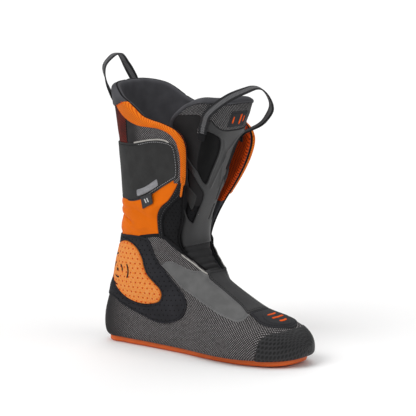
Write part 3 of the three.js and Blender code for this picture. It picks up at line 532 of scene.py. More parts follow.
def sheet(name, chart, region, top, bottom, material, depths=EDGE):
    """A closed body over a region of a chart. top and bottom give heights, or (heights, foam shares)."""
    part, depth = cut(chart, region, depths)
    part.t = depth
    _, first, same = np.unique((part.place(0) * 2000).round().astype(int), axis=0, return_index=True,
                               return_inverse=True)
    same = same.reshape(-1)
    corners = same[part.triangles]
    real = (corners != np.roll(corners, 1, 1)).all(1)
    corners, original = corners[real], part.triangles[real]

    def placed(profile):
        found = profile(part)
        return part.place(*found)[first] if isinstance(found, tuple) else part.place(found)[first]

    count = len(first)
    edges = np.concatenate([corners[:, [0, 1]], corners[:, [1, 2]], corners[:, [2, 0]]])
    source = np.concatenate([original[:, [0, 1]], original[:, [1, 2]], original[:, [2, 0]]])
    key = edges.min(1) * count + edges.max(1)
    _, position, uses = np.unique(key, return_index=True, return_counts=True)
    rim, rim_source = edges[position[uses == 1]], source[position[uses == 1]]
    walls = np.stack([rim[:, 1], rim[:, 0], rim[:, 0] + count, rim[:, 1] + count], 1)
    faces = [*corners, *(corners[:, ::-1] + count), *walls]
    order = np.concatenate([original.ravel(), original[:, ::-1].ravel(), rim_source[:, [1, 0, 0, 1]].ravel()])
    maps = {"Weave": np.stack([part.u, part.v], 1)[order], "Flat": np.stack([part.p, part.q], 1)[order],
            "Edge": np.stack([depth, depth], 1)[order], "Rings": np.stack([part.r, part.s], 1)[order]}
    return mesh_object(name, np.concatenate([placed(top), placed(bottom)]), faces, material, maps)


def contour(chart, region, depth):
    """The lines of a region at one depth, each as a chart of points in order."""
    distance = region(chart) + depth
    near = chart.triangles[(distance[chart.triangles] < 0).any(1)]
    values, triangles, found = split(chart.values, near, distance, 0.0)
    on = found == 0.0
    on[:len(chart.values)] = False
    inside = triangles[found[triangles].mean(1) < 0]
    pairs = np.concatenate([inside[:, [0, 1]], inside[:, [1, 2]], inside[:, [2, 0]]])
    pairs = pairs[on[pairs].all(1)]
    _, same = np.unique((values[:, 0:3] * 2000).round().astype(int), axis=0, return_inverse=True)
    same = same.reshape(-1)
    after = {}
    for a, b in pairs:
        if same[a] != same[b]:
            after[same[a]] = (same[b], a)
    lines = []
    while after:
        ends = {end for end, _ in after.values()}
        key = min((k for k in after if k not in ends), default=min(after))
        line = []
        while key in after:
            key, source = after.pop(key)
            line.append(source)
        if len(line) > 3:
            lines.append(Chart(values[line], None))
    return lines


def runs(flags):
    """The indices of points, split wherever their flag changes."""
    return np.split(np.arange(len(flags)), np.flatnonzero(np.diff(flags)) + 1)


def resampled(points, spacing):
    length = along_path(points, 0)
    at = np.linspace(0, length[-1], max(2, int(length[-1] / spacing)))
    return np.stack([np.interp(at, length, points[:, k]) for k in range(points.shape[1])], 1)


def unit(vectors):
    return vectors / np.maximum(np.linalg.norm(vectors, axis=-1, keepdims=True), 1e-9)


def loft_faces(rows, sides, start=0):
    """The faces of a closed tube of `rows` rings with `sides` points each, capped at both ends."""
    faces = []
    for i in range(rows - 1):
        for j in range(sides):
            near, far = start + i * sides, start + (i + 1) * sides
            k = (j + 1) % sides
            faces.append([near + j, far + j, far + k, near + k])
    faces.append([start + j for j in range(sides)])
    faces.append([start + (rows - 1) * sides + j for j in range(sides - 1, -1, -1)])
    return faces


def loft(name, rings, round_it, material):
    """A closed tube through rings of points. round_it: how far each point is round its ring, for weaves."""
    rows, sides = rings.shape[:2]
    length = along_path(rings.mean(1), 0)
    weave = []
    for i in range(rows - 1):
        for j in range(sides):
            first, second = round_it[j], round_it[j + 1]
            weave += [(first, length[i]), (first, length[i + 1]), (second, length[i + 1]),
                      (second, length[i])]
    weave += [(0, 0)] * (2 * sides)
    return mesh_object(name, rings.reshape(-1, 3), loft_faces(rows, sides), material, {"Weave": weave})


STITCH_SIDES = 6
STITCH_RINGS = ((-1, 0.25), (-0.72, 0.85), (0, 1), (0.72, 0.85), (1, 0.25))  # place along it, and width


def stitched(name, lines, material, height=2.5, pitch=2.9, length=2.0, radius=0.34):
    """Rows of stitches along contour lines."""
    angles = np.linspace(0, 2 * np.pi, STITCH_SIDES + 1)[:-1]
    points, faces = [], []
    for line in lines:
        path = resampled(np.concatenate([line.place(height), line.values[:, 3:6]], 1), pitch)
        tangents = unit(np.gradient(path[:, 0:3], axis=0))
        outward = unit(path[:, 3:6] - (path[:, 3:6] * tangents).sum(1, keepdims=True) * tangents)
        across = np.cross(tangents, outward)
        for place, tangent, normal, side in zip(path[:, 0:3], tangents, outward, across):
            faces += loft_faces(len(STITCH_RINGS), STITCH_SIDES, len(points))
            for along, width in STITCH_RINGS:
                centre = place + tangent * along * length / 2 - normal * 0.5 * radius * along**2
                for angle in angles:
                    outwards = normal * math.sin(angle) + side * math.cos(angle)
                    points.append(centre + width * radius * outwards)
    return mesh_object(name, np.array(points), faces, material)


def tube(name, places, radius, material, spacing, sides=10):
    """A round cord along a line, drawn in at both ends."""
    path = resampled(np.asarray(places, float), spacing)
    tangents = unit(np.gradient(path, axis=0))
    up = np.array([0, 0, 1.0])
    outward = unit(up - (tangents * up).sum(1, keepdims=True) * tangents)
    across = np.cross(tangents, outward)
    angles = np.linspace(0, 2 * np.pi, sides + 1)[:-1, None]
    girth = np.full((len(path), 1, 1), float(radius))
    girth[[0, -1]] *= 0.45
    rings = path[:, None] + girth * (np.sin(angles) * outward[:, None] + np.cos(angles) * across[:, None])
    round_it = 2 * math.pi * radius / sides * np.arange(sides + 1)
    return loft(name, rings, round_it, material)


# ---- finishes ------------------------------------------------------------------------------------

LIGHT = 1.3  # how much brighter than its own colour a surface in this studio looks


def rgb(red, green, blue):
    """A screen colour, 0 to 255, as seen in this studio's light, as the linear colour that nodes use."""
    return tuple((c / 255 / 12.92 if c <= 10 else ((c / 255 + 0.055) / 1.055) ** 2.4) / LIGHT
                 for c in (red, green, blue)) + (1.0,)


def shaded(colour, factor, added=0.0):
    """A colour made darker, or lighter, by a factor."""
    return tuple(min(1, c * factor + added) for c in colour[:3]) + (1,)


class Finish:
    """A procedural material. Pattern lengths are in millimetres, and bump heights too."""

    def __init__(self, name, roughness=0.8, sheen=0.0, metallic=0.0, specular=0.1):
        self.material = bpy.data.materials.new(name)
        self.material.use_nodes = True
        self.tree = self.material.node_tree
        self.surface = self.tree.nodes["Principled BSDF"]
        values = {"Roughness": roughness, "Sheen Weight": sheen * 0.4, "Sheen Roughness": 0.4,
                  "Metallic": metallic, "Specular IOR Level": specular}
        for socket, value in values.items():
            self.surface.inputs[socket].default_value = value
        self.found = {}

    def node(self, kind, inputs=(), output=0, **settings):
        node = self.tree.nodes.new(kind)
        for key, value in settings.items():
            setattr(node, key, value)
        for key, value in dict(inputs).items():
            if isinstance(value, bpy.types.NodeSocket):
                self.tree.links.new(value, node.inputs[key])
            else:
                node.inputs[key].default_value = value
        return node.outputs[output]

    def map(self, title):
        """The two coordinates of a UV map, in millimetres."""
        if title not in self.found:
            vector = self.node("ShaderNodeUVMap", uv_map=title)
            node = self.tree.nodes.new("ShaderNodeSeparateXYZ")
            self.tree.links.new(vector, node.inputs[0])
            self.found[title] = (node.outputs[0], node.outputs[1])
        return self.found[title]

    def calc(self, operation, *values):
        return self.node("ShaderNodeMath", enumerate(values), operation=operation)

    def wave(self, value, pitch):
        """A wave from -1 to 1."""
        return self.calc("SINE", self.calc("MULTIPLY_ADD", value, 2 * math.pi / pitch, 0.0))

    def ripple(self, value, pitch):
        """A wave from 0 to 1."""
        return self.raised(self.wave(value, pitch))

    def threads(self, pitch):
        """The two directions of a weave, multiplied: -1 to 1."""
        u, v = self.map("Weave")
        return self.calc("MULTIPLY", self.wave(u, pitch), self.wave(v, pitch))

    def raised(self, height, share=0.5, base=0.5):
        """A share of a value, over a base."""
        return self.calc("MULTIPLY_ADD", height, share, base)

    def edge(self, width, narrow=0.0):
        """1 at the piece's outline, and 0 from this many millimetres inside it."""
        return self.step(self.map("Edge")[0], width, narrow)

    def tint(self, base, amount, share, colour):
        """The base with a share of another colour where amount is 1."""
        return self.mix(self.calc("MULTIPLY", amount, share), base, colour)

    def mix(self, amount, first, second):
        return self.node("ShaderNodeMix", {0: amount, 6: first, 7: second}, output=2, data_type="RGBA")

    def step(self, value, low, high):
        """0 below low, 1 above high, smooth between them. low may be the larger one."""
        return self.node("ShaderNodeMapRange", {0: value, 1: low, 2: high}, interpolation_type="SMOOTHSTEP")

    def noise(self, size, detail=2.0):
        """Noise from 0 to 1 in blobs of this size."""
        where = self.node("ShaderNodeTexCoord", output=3)
        return self.node("ShaderNodeTexNoise", {"Vector": where, "Scale": 1000 / size, "Detail": detail})

    def dots(self, u, v, pitch, radius, softness=0.35):
        """1 in round dots on a triangular lattice."""
        squares = []
        for shift in (0.0, 0.5):
            parts = []
            for value, size in ((u, pitch), (v, pitch * math.sqrt(3))):
                cell = self.calc("FRACT", self.calc("MULTIPLY_ADD", value, 1 / size, shift + 40))
                offset = self.calc("MULTIPLY", self.calc("SUBTRACT", cell, 0.5), size)
                parts.append(self.calc("MULTIPLY", offset, offset))
            squares.append(self.calc("ADD", *parts))
        nearest = self.calc("SQRT", self.calc("MINIMUM", *squares))
        return self.step(nearest, radius + softness / 2, radius - softness / 2)

    def colour(self, value):
        socket = self.surface.inputs["Base Color"]
        if isinstance(value, bpy.types.NodeSocket):
            self.tree.links.new(value, socket)
        else:
            socket.default_value = value
        return self

    def bump(self, height, depth):
        """Adds relief: height 0 to 1 stands for depth millimetres."""
        normal = self.surface.inputs["Normal"]
        inputs = {"Height": height, "Distance": depth / 1000, "Strength": 1.0}
        if normal.is_linked:
            inputs["Normal"] = normal.links[0].from_socket
        self.tree.links.new(self.node("ShaderNodeBump", inputs), normal)
        return self

    def mottled(self, colour, amount=0.1, size=18.0):
        """The colour, a little lighter and darker in places."""
        dark, light = shaded(colour, 1 - amount), shaded(colour, 1 + amount)
        return self.mix(self.step(self.noise(size), 0.3, 0.7), dark, light)


def smooth_cloth(name, colour, roughness=0.62, grain=0.7, depth=0.05, sheen=0.06, amount=0.12):
    """Coated or brushed cloth: fine grain and a slightly lighter edge."""
    f = Finish(name, roughness, sheen)
    f.colour(f.tint(f.mottled(colour, amount), f.edge(1.5, 0.1), 0.45, shaded(colour, 1.7, 0.004)))
    return f.bump(f.noise(grain, 3.0), depth).bump(f.noise(6.0), 0.25).material


def plain_cloth(name, colour, roughness=0.8, pitch=0.9, depth=0.08, sheen=0.08, amount=0.12):
    """Closely woven cloth."""
    f = Finish(name, roughness, sheen)
    height = f.raised(f.threads(pitch))
    f.colour(f.tint(f.mottled(colour, amount), height, 0.6, shaded(colour, 0.7)))
    return f.bump(height, depth).bump(f.noise(7.0), 0.2).material


def dotted_mesh(name, dark, light, pitch, fade=None):
    """Woven mesh with pale dots on a diagonal lattice. The dots start between the two places x of fade."""
    f = Finish(name, 0.72, 0.04)
    spots = f.step(f.threads(pitch), 0.12, 0.55)
    if fade:
        spots = f.calc("MULTIPLY", spots, f.step(f.map("Flat")[0], *fade))
    uneven = f.step(f.noise(2.2, 1.0), 0.25, 0.6)
    spots = f.calc("MULTIPLY", spots, f.raised(uneven))
    fine = f.raised(f.threads(0.9), 0.25)
    f.colour(f.mix(spots, f.mottled(dark, 0.15), light))
    return f.bump(spots, 0.22).bump(fine, 0.05).material


def ribbed(name, bright, deep, pitch=2.6, lean=1.0, line=0.55):
    """Stretch cloth with fine diagonal ribs."""
    f = Finish(name, 0.75, 0.12)
    u, v = f.map("Weave")
    slant = f.calc("MULTIPLY_ADD", v, lean, u)
    rib = f.ripple(slant, pitch)
    cross = f.ripple(f.calc("MULTIPLY_ADD", v, -lean, u), pitch * 1.2)
    gaps = f.calc("MULTIPLY", f.step(rib, line, 0.1), f.raised(cross, 0.6, 0.4))
    f.colour(f.mix(gaps, f.mottled(bright, 0.08), deep))
    return f.bump(rib, 0.3).bump(cross, 0.08).material


def orange_knit(name):
    """Smooth elastic knit with faint courses."""
    f = Finish(name, 0.7, 0.1)
    course = f.ripple(f.map("Weave")[1], 1.3)
    base = f.tint(f.mottled(rgb(255, 124, 4), 0.07, 25.0), course, 0.35, rgb(232, 98, 0))
    f.colour(f.tint(base, f.edge(1.6), 0.5, rgb(190, 70, 0)))
    return f.bump(course, 0.06).bump(f.noise(9.0), 0.5).material


def perforated(name, colour, hole, pitch=7.0, radius=0.85, weave=1.5):
    """Moulded foam cloth with a lattice of holes."""
    f = Finish(name, 0.75, 0.05)
    holes = f.dots(*f.map("Weave"), pitch, radius)
    woven = f.raised(f.threads(weave))
    base = f.tint(f.mottled(colour, 0.15), woven, 0.5, shaded(colour, 0.72))
    f.colour(f.mix(holes, base, hole))
    return f.bump(woven, 0.07).bump(f.calc("SUBTRACT", 1.0, holes), 0.5).material


# The broken rings on the ankle pad.
RINGS = {"x": 37.0, "z": 93.0, "radius and turn": ((9.0, 0.4), (18.5, 1.6))}


def ankle_pad_cloth(name):
    """Pale orange foam pad with darker dots and two broken rings."""
    f = Finish(name, 0.72, 0.08)
    x, z = f.map("Flat")
    dx, dz = f.calc("SUBTRACT", x, RINGS["x"]), f.calc("SUBTRACT", z, RINGS["z"])
    far = f.calc("SQRT", f.calc("ADD", f.calc("MULTIPLY", dx, dx), f.calc("MULTIPLY", dz, dz)))
    angle = f.calc("ARCTAN2", dz, dx)
    marks = f.step(far, 2.3, 1.7)
    for radius, phase in RINGS["radius and turn"]:
        ring = f.step(f.calc("ABSOLUTE", f.calc("SUBTRACT", far, radius)), 1.25, 0.85)
        piece = f.step(f.calc("SINE", f.calc("MULTIPLY_ADD", angle, 3.0, phase)), 0.1, 0.25)
        marks = f.calc("MAXIMUM", marks, f.calc("MULTIPLY", ring, piece))
    dots = f.dots(x, z, 6.6, 1.0)
    base = f.mix(f.step(f.noise(1.3, 3.0), 0.35, 0.65), rgb(255, 146, 58), rgb(255, 172, 96))
    base = f.tint(base, f.edge(2.6), 0.6, rgb(246, 118, 22))
    base = f.mix(dots, base, rgb(228, 66, 18))
    f.colour(f.mix(marks, base, rgb(38, 24, 26)))
    dents = f.calc("SUBTRACT", 1.0, f.calc("MAXIMUM", dots, marks))
    return f.bump(dents, 0.45).bump(f.noise(1.0, 3.0), 0.08).material


def hexagon_film(name):
    """Black film with a net of raised lines between rounded cells."""
    f = Finish(name, 0.5, 0.0, specular=0.35)
    cells = f.dots(*f.map("Rings"), 5.0, 1.75, 0.9)
    f.colour(f.mix(cells, f.mottled(rgb(46, 46, 48), 0.15), rgb(10, 10, 12)))
    return f.bump(f.calc("SUBTRACT", 1.0, cells), 0.55).bump(f.noise(0.8), 0.05).material


def satin_plastic(name, colour):
    """Moulded plastic with a fine spark-eroded grain."""
    f = Finish(name, 0.42, specular=0.35)
    f.colour(f.tint(f.mottled(colour, 0.07, 30.0), f.edge(1.1, 0.2), 0.4, shaded(colour, 1.8, 0.01)))
    return f.bump(f.noise(0.6, 3.0), 0.025).bump(f.noise(14.0), 0.2).material


def webbing_cloth(name):
    """Flat webbing: ribs across it, dark edges and a pale speckled centre stripe."""
    f = Finish(name, 0.7, 0.1)
    u, v = f.map("Weave")
    off_middle = f.calc("ABSOLUTE", u)
    rib = f.ripple(v, 1.7)
    zigzag = f.ripple(f.calc("ADD", f.calc("MULTIPLY", off_middle, 0.8), v), 1.7)
    speckles = f.raised(f.step(zigzag, 0.3, 0.8), 0.75, 0.25)
    stripe = f.calc("MULTIPLY", f.step(off_middle, 2.6, 2.0), speckles)
    f.colour(f.mix(stripe, f.mix(rib, rgb(30, 30, 32), rgb(62, 62, 64)), rgb(128, 128, 130)))
    return f.bump(zigzag, 0.22).bump(f.noise(1.2), 0.06).material


def sole_rubber(name):
    """Orange rubber, a little darker towards the ground."""
    f = Finish(name, 0.5, specular=0.45)
    where = f.node("ShaderNodeTexCoord", output=3)
    node = f.tree.nodes.new("ShaderNodeSeparateXYZ")
    f.tree.links.new(where, node.inputs[0])
    low = f.step(node.outputs[2], 0.0035, 0.0)
    f.colour(f.tint(f.mottled(rgb(255, 112, 28), 0.06, 20.0), low, 0.55, rgb(196, 62, 14)))
    return f.bump(f.noise(0.9, 3.0), 0.05).material


def reflective(name):
    """Silver tape with a fine grid."""
    f = Finish(name, 0.38, metallic=0.35)
    grid = f.calc("MAXIMUM", *[f.step(f.wave(along, 1.6), 0.75, 0.95) for along in f.map("Weave")])
    f.colour(f.mix(grid, f.mottled(rgb(176, 176, 180), 0.1, 4.0), rgb(120, 120, 124)))
    return f.bump(grid, 0.08).material


def red_backed_mesh(name):
    """Black mesh over a red backing, redder in the middle."""
    f = Finish(name, 0.8, 0.04)
    lattice = f.threads(3.0)
    open_cells = f.calc("MULTIPLY", f.step(lattice, -0.1, 0.5), f.step(f.noise(30.0), 0.15, 0.55))
    f.colour(f.mix(open_cells, f.mottled(rgb(44, 26, 26), 0.2), rgb(150, 40, 20)))
    return f.bump(lattice, 0.15).material


def soft_lining(name):
    """Brushed lining cloth."""
    f = Finish(name, 0.9, 0.14)
    f.colour(f.mottled(rgb(84, 84, 88), 0.16, 22.0))
    return f.bump(f.noise(0.8, 4.0), 0.08).bump(f.noise(16.0), 0.5).material


def thread(name, colour):
    f = Finish(name, 0.7, 0.08)
    f.colour(f.mottled(colour, 0.2, 1.5))
    return f.bump(f.noise(0.4, 2.0), 0.05).material


def cord_cloth(name, colour):
    """Twisted cord or narrow piping."""
    f = Finish(name, 0.65, 0.06)
    twist = f.ripple(f.calc("ADD", *f.map("Weave")), 1.1)
    f.colour(f.tint(f.mottled(colour, 0.1, 3.0), twist, 0.5, shaded(colour, 0.6)))
    return f.bump(twist, 0.12).material


def woven_tag(name):
    """Dark woven label with two short pale bars."""
    f = Finish(name, 0.75, 0.04)
    x, z = f.map("Flat")
    slope = 0.42  # of the label's lower edge
    up = f.calc("MULTIPLY_ADD", x, -slope, z)
    along = f.calc("MULTIPLY_ADD", z, slope, x)

    def near(value, middle, outer, inner):
        return f.step(f.calc("ABSOLUTE", f.calc("SUBTRACT", value, middle)), outer, inner)

    marks = f.calc("MAXIMUM", near(along, 163.0, 1.0, 0.7), near(along, 167.0, 1.0, 0.7))
    bars = f.calc("MULTIPLY", near(up, 143.5, 2.9, 2.5), marks)
    f.colour(f.mix(bars, f.mottled(rgb(70, 70, 72), 0.15, 2.0), rgb(225, 225, 225)))
    return f.bump(f.noise(0.7, 2.0), 0.08).material


MATERIALS = {
    "rubber": sole_rubber("sole_rubber"),
    "footbed": plain_cloth("footbed_cloth", rgb(60, 60, 64), 0.9, 1.4, 0.12, 0.1),
    "foam": perforated("liner_foam_cloth", rgb(30, 30, 32), rgb(8, 8, 9), 5.2, 0.8, 1.3),
    "vamp": dotted_mesh("vamp_mesh_cloth", rgb(50, 48, 49), rgb(176, 172, 172), 2.8, (14, 60)),
    "collar_mesh": dotted_mesh("collar_mesh_cloth", rgb(54, 52, 53), rgb(168, 164, 165), 2.8, (72, 88)),
    "tongue_mesh": dotted_mesh("tongue_mesh_cloth", rgb(46, 45, 46), rgb(160, 158, 159), 2.6),
    "hex": hexagon_film("hexagon_film"),
    "patch": smooth_cloth("patch_cloth", rgb(48, 48, 51), 0.6, 0.9, 0.07),
    # recess: painted shade, a near-black cloth for the deep shadow inside the tongue shell's upper windows,
    # darker than the real dark cloth there
    "recess": smooth_cloth("recess_painted_shade_cloth", rgb(17, 17, 18), amount=0.3),
    "side_cloth": plain_cloth("tongue_side_cloth", rgb(46, 45, 46)),
    "flex_cloth": smooth_cloth("tongue_flex_cloth", rgb(52, 52, 53), amount=0.08),
    "panel": smooth_cloth("panel_cloth", rgb(58, 58, 58), 0.66, 0.8, 0.05),
    "instep": plain_cloth("instep_cloth", rgb(72, 72, 73), 0.8, 1.2, 0.06, 0.2),
    "wing": smooth_cloth("wing_cloth", rgb(112, 112, 112), 0.7, 0.6, 0.04),
    "surround": perforated("surround_cloth", rgb(50, 50, 54), rgb(12, 12, 14)),
    "pad": ankle_pad_cloth("ankle_pad_cloth"),
    "orange": orange_knit("orange_knit"),
    "trim": ribbed("trim_cloth", rgb(255, 134, 26), rgb(214, 78, 4)),
    "facing": ribbed("facing_cloth", rgb(236, 84, 18), rgb(120, 28, 8), 3.6, 1.0, 0.7),
    "rear_mesh": red_backed_mesh("rear_mesh_cloth"),
    "binding": plain_cloth("binding_tape", rgb(36, 36, 38), 0.8, 1.0, 0.1, 0.1),
    "trim_cord": cord_cloth("trim_cord", rgb(226, 96, 14)),
    "black_cord": cord_cloth("black_cord", rgb(26, 26, 28)),
    "pale_cord": cord_cloth("pale_piping", rgb(205, 202, 196)),
    "lining": soft_lining("collar_lining_cloth"),
    "silver": reflective("reflective_tape"),
    "tag": woven_tag("woven_tag"),
    "webbing": webbing_cloth("webbing_cloth"),
    "plastic": satin_plastic("tongue_plastic", rgb(50, 50, 51)),
    "black_thread": thread("black_thread", rgb(28, 28, 30)),
    "grey_thread": thread("grey_thread", rgb(120, 120, 122)),
    "pale_thread": thread("pale_thread", rgb(178, 178, 180)),
    "bright_thread": thread("bright_thread", rgb(255, 92, 30)),
    "orange_thread": thread("orange_thread", rgb(255, 98, 20)),
}

# ---- outlines ------------------------------------------------------------------------------------

# Side-view outlines are (x, z) points and plan outlines are (x, y) points. outline() joins its stretches by
# straight lines.
COLLAR_EDGE = {
    OUTER: [[-20, 313], [14, 312.5], [30, 308], [45, 299], [60, 293], [72, 286.5], [84, 278.5], [98, 274.5],
            [111, 272], [122, 269], [131, 265.5], [138, 260.5], [142.5, 254], [144.5, 246], [144.3, 237],
            [143, 226], [141, 212], [136.5, 196], [134, 185], [129, 160], [123, 141], [124, 126],
            [133, 115], [146, 105], [159, 97]],
    INNER: [[-20, 313], [14, 313.5], [21, 313], [30, 311], [40, 307.5], [50, 301.5], [60, 294.5], [70, 289],
            [84, 284], [102, 279.5], [126, 274.5], [150, 268.5], [164, 259], [170, 246], [167, 226],
            [157, 203], [142, 179], [128, 155], [121, 136], [124, 122], [134, 110], [147, 101], [159, 97]],
}
OPENINGS = {side: outline(edge, [[FAR, 97], [FAR, FAR]], [[-20, FAR], edge[0]])
            for side, edge in COLLAR_EDGE.items()}
SIDES_MEET = 12  # width over which one side's edge turns into the other's
RIM = {"overhang": 1.2, "radius": 4.4}  # how far cloth goes round the collar's edge, and how tightly

FOOT_FABRIC_EDGE = [[96, 142], [104, 138], [113, 132], [121, 125], [129, 117], [138, 110], [148, 102],
                    [157, 95.5]]
FOOT_FABRIC_OPENING = outline(FOOT_FABRIC_EDGE, [[FAR, 95.5], [FAR, 300]], [[60, 300], [96, 142]])
VAMP_BAND = [[72, 135], [84, 137.5], [94, 139.2], [102, 139.5], [109, 136], [115, 131], [121, 125.5],
             [127, 119.5]]
BELOW_BAND = outline(VAMP_BAND, [[127, 100], [72, 100]])

BINDING_BACK = [[138, 214], [134.5, 208], [128, 197], [117, 183], [106, 174.5], [100, 165], [99, 154],
                [100, 138]]
BINDING_FRONT = [[107, 138], [106, 150], [107, 160], [112, 169.5], [122, 179], [133, 189], [140, 201],
                 [143, 216]]
BINDING = {"bottom": 136, "top": 212, "front": 145}
BINDING_BAND = outline(BINDING_BACK, [[100, 120], [107, 120]], BINDING_FRONT)
BEHIND_BINDING = outline(BINDING_BACK, [[100, 100], [-FAR, 100]], [[-FAR, FAR], [138, FAR]])

FOREFOOT, INSTEP, THROAT = 36, 45, 60  # a plan outline on the foot holds above one of these heights
TOE_CAP = outline([[236, -5], [237, 9], [241, 20], [243, 29], [246, 36], [252, 40], [262, 42], [265, 52],
                   [266, 70]],
                  [[FAR, 70], [FAR, -5]])
INSTEP_PLAN = outline([[151, -20], [162, -15.5], [188, -14.5], [202, -15], [214, -19]],
                      [[214, -19], [216, 1], [214, 21]],
                      [[214, 21], [202, 16], [188, 13.5], [162, 14], [151, 18]],
                      [[151, 18], [149, -1], [151, -20]])
TOE_PATCH_PLAN = outline([[214.8, -17], [217, 1], [214.8, 20]],
                         [[214.8, 20], [225, 24.5], [237, 28], [249, 25], [257, 17], [261, 3], [257, -10],
                          [248, -20], [237, -24], [225, -21], [214.8, -17]])
TOE_PATCH_FRONT = 264.5
TOE_BADGE_PLAN = smooth([[226, 2], [229, -11], [241, -16], [252, -9], [256, 3], [252, 14], [241, 20],
                         [229, 15]],
                        closed=True)
TOE_MARKS = ((233, 1, 7), (240.5, 2, 9.5), (248, 1.5, 6))  # x, y of the middle, and half-length

SURROUND = outline([[-20, 133], [30, 133.5], [58, 136], [75, 136], [85, 134]],
                   [[85, 134], [89, 127], [93, 116], [99, 105], [106, 97], [115, 87], [126, 77], [135, 68],
                    [139, 59], [135, 48], [123, 40], [107, 35.5], [90, 36], [72, 41], [56, 46], [40, 52],
                    [25, 58], [-20, 60]])
PAD = smooth([[16, 108], [28, 121], [45, 127.5], [59, 126], [69, 119], [74.5, 109], [76.5, 100], [81, 90],
              [90, 82], [98, 75], [101, 67.5], [97, 60], [87, 56.5], [76, 55], [63, 56], [50, 60], [37, 68],
              [24, 80], [15, 94]], closed=True)
WING_OVERLAY = outline([[101, 103], [106, 108], [114, 109], [121, 106.5], [130, 102], [141, 99], [150, 99],
                        [160, 95], [175, 84], [190, 75], [205, 66], [212, 61]],
                       [[212, 61], [216, 56], [216, 51.5], [210, 49.5], [200, 52], [187, 56], [169, 63],
                        [150, 70], [135, 75.5], [125, 81], [116, 89], [108, 97], [101, 103]])
HEEL_COUNTER = outline([[-20, 14], [66, 14]], [[66, 14], [62, 34], [44, 56], [22, 70], [-20, 74]])
TONGUE_NOTCH = smooth([[148, -20], [173, -20], [179, -9], [180, 0], [179, 9], [173, 20], [148, 20]])
THROAT_CORD = [[126, 118.5], [133, 112.5], [141, 106.5], [149, 100.5], [155, 97]]

TRIM_INSIDE = {
    OUTER: [[135.6, 201], [137, 213], [138.6, 226], [139, 237], [137.5, 245], [135, 253], [129, 260],
            [120, 264.5], [109, 267], [99, 267.5], [84, 268], [72, 270.5], [60, 275], [50, 281], [41, 288],
            [28, 299]],
    INNER: [[131, 184], [141, 203], [150, 225], [153, 240], [149, 251], [127, 262], [102, 267], [82, 272],
            [66, 278], [54, 286], [42, 294], [28, 300]],
}
TRIMS = {side: outline(line, [[30, FAR], [FAR, FAR]], [[FAR, line[0][1]], line[0]])
         for side, line in TRIM_INSIDE.items()}
TRIM_TAIL = [[139.8, 212], [139.6, 206], [138.3, 200], [136.5, 194], [134.8, 188.5]]
ROLLED_RIM = {
    OUTER: [[-20, 285], [20, 285.5], [42, 289], [66, 298]],
    INNER: [[-20, 285], [20, 285.5], [45, 290], [66, 298]],
}
RIM_STITCHES_START = 42
RIM_ROLLS = {side: outline(line, [[66, FAR], [-20, FAR]]) for side, line in ROLLED_RIM.items()}
RIM_CORD = {"behind": 62, "above": 205}  # it is orange in front of the first and above the second
FACING = outline([[98, 292], [98, 266], [110, 240], [112, 214], [116, 190], [122, 176]],
                 [[FAR, 176], [FAR, 292]])

CUFF_PANEL = outline([[-20, 244], [40, 245], [73, 247], [96, 252], [112, 253.5], [126, 252]],
                     [[126, 252], [132.5, 247], [134.5, 236], [134.5, 222], [133, 211]],
                     [[133, 211], [114, 200], [99, 191], [86, 184], [74, 179.5], [62, 176.5], [48, 176],
                      [34, 178], [-20, 180]])
PANEL_PIPING = [[72, 247.4], [84, 250], [97, 252.6], [110, 254.2], [120, 253.6], [126, 251.6]]
PANEL_SEAM_CHANGE = 79  # the panel's seam is pale in front of this and black behind it
REFLECTIVE = outline([[73, 184], [86, 188.5], [99, 195.5], [106, 200]],
                     [[105, 208], [98, 203.5], [86, 196.5], [73, 192]])
TAG = np.array([[80, 184], [96, 191], [97, 178], [82, 170]], float)
REAR_TAB = {"depth": 25, "bottom": 281, "top": 299}
COLLAR_SEAM = 245  # height of the collar meshes' lower edge
REAR_SEAM = {"x": 59, "top": 289}  # between a side's collar mesh and the rear one
FRONT_STRIP = {"back": 127, "bottom": 204}  # mesh in front of the cuff panel
SKIRT = {"bottom": 131, "top": 222}
BEND = {"low": 136, "high": 172}  # the orange ankle bends between these heights

LINING_BOTTOM = 26
FOOTBED_TOP = 23
SOLE = {"edge": 1.2, "level": 7.5, "rim": 7.4, "gap": 0.3}
TREAD = {"pitch": 14, "heel": 62, "ball": 150}  # grooves behind the one and in front of the other
TOE_SPRING = {"start": 195, "end": 286, "rise": 5}


def toe_spring(x):
    t = np.clip((x - TOE_SPRING["start"]) / (TOE_SPRING["end"] - TOE_SPRING["start"]), 0, 1)
    return TOE_SPRING["rise"] * t**2


def sole_rim(x):
    return SOLE["rim"] + 0.75 * toe_spring(x)


def above_sole(c):
    return sole_rim(c.x) + SOLE["gap"] - c.z


def opening(c):
    """Distance to the collar's edge, negative in the opening. The two sides' edges meet at the back."""
    share = np.clip(c.y / SIDES_MEET + 0.5, 0, 1)
    return kept(c, OPENINGS[OUTER], c.p, c.q) * (1 - share) + kept(c, OPENINGS[INNER], c.p, c.q) * share


def turned_over(c, radius=RIM["radius"]):
    """0 at the outer edge of cloth that goes round the rim, and 1 where it lies flat."""
    return rounded(opening(c) + RIM["overhang"], radius)


def within_rim(overhang):
    """The fabric's side of the collar's edge, and this far past it."""
    return wider(without(opening), overhang)


def bend(first, second, start, end):
    return first, second, tuple(row(start)), tuple(row(end))


FOOT_TO_CUFF = bend("foot", "cuff", [143, 0, BEND["low"]], [143, 0, BEND["high"]])
FOOT_TO_TONGUE = bend("foot", "tongue", [150, 0, 96], [131, 0, 127])


def fix(piece, slot, follows, *nodes, fill=None):
    """Puts a piece on its body in place of CAD nodes. A piece that spans two bodies is left where it stands,
    with no body.
    """
    if isinstance(follows, tuple):
        first, second, start, end = follows
        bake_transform(piece)
    else:
        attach(piece, follows)
    if nodes:
        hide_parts(*nodes)
    return piece


# ---- profiles: the height of a piece from the depth inside its outline ---------------------------


def rounded(t, radius):
    return np.sqrt(1 - (1 - np.clip(t / radius, 0, 1)) ** 2)


def swell(t, width):
    s = np.clip(t / width, 0, 1)
    return s * s * (3 - 2 * s)


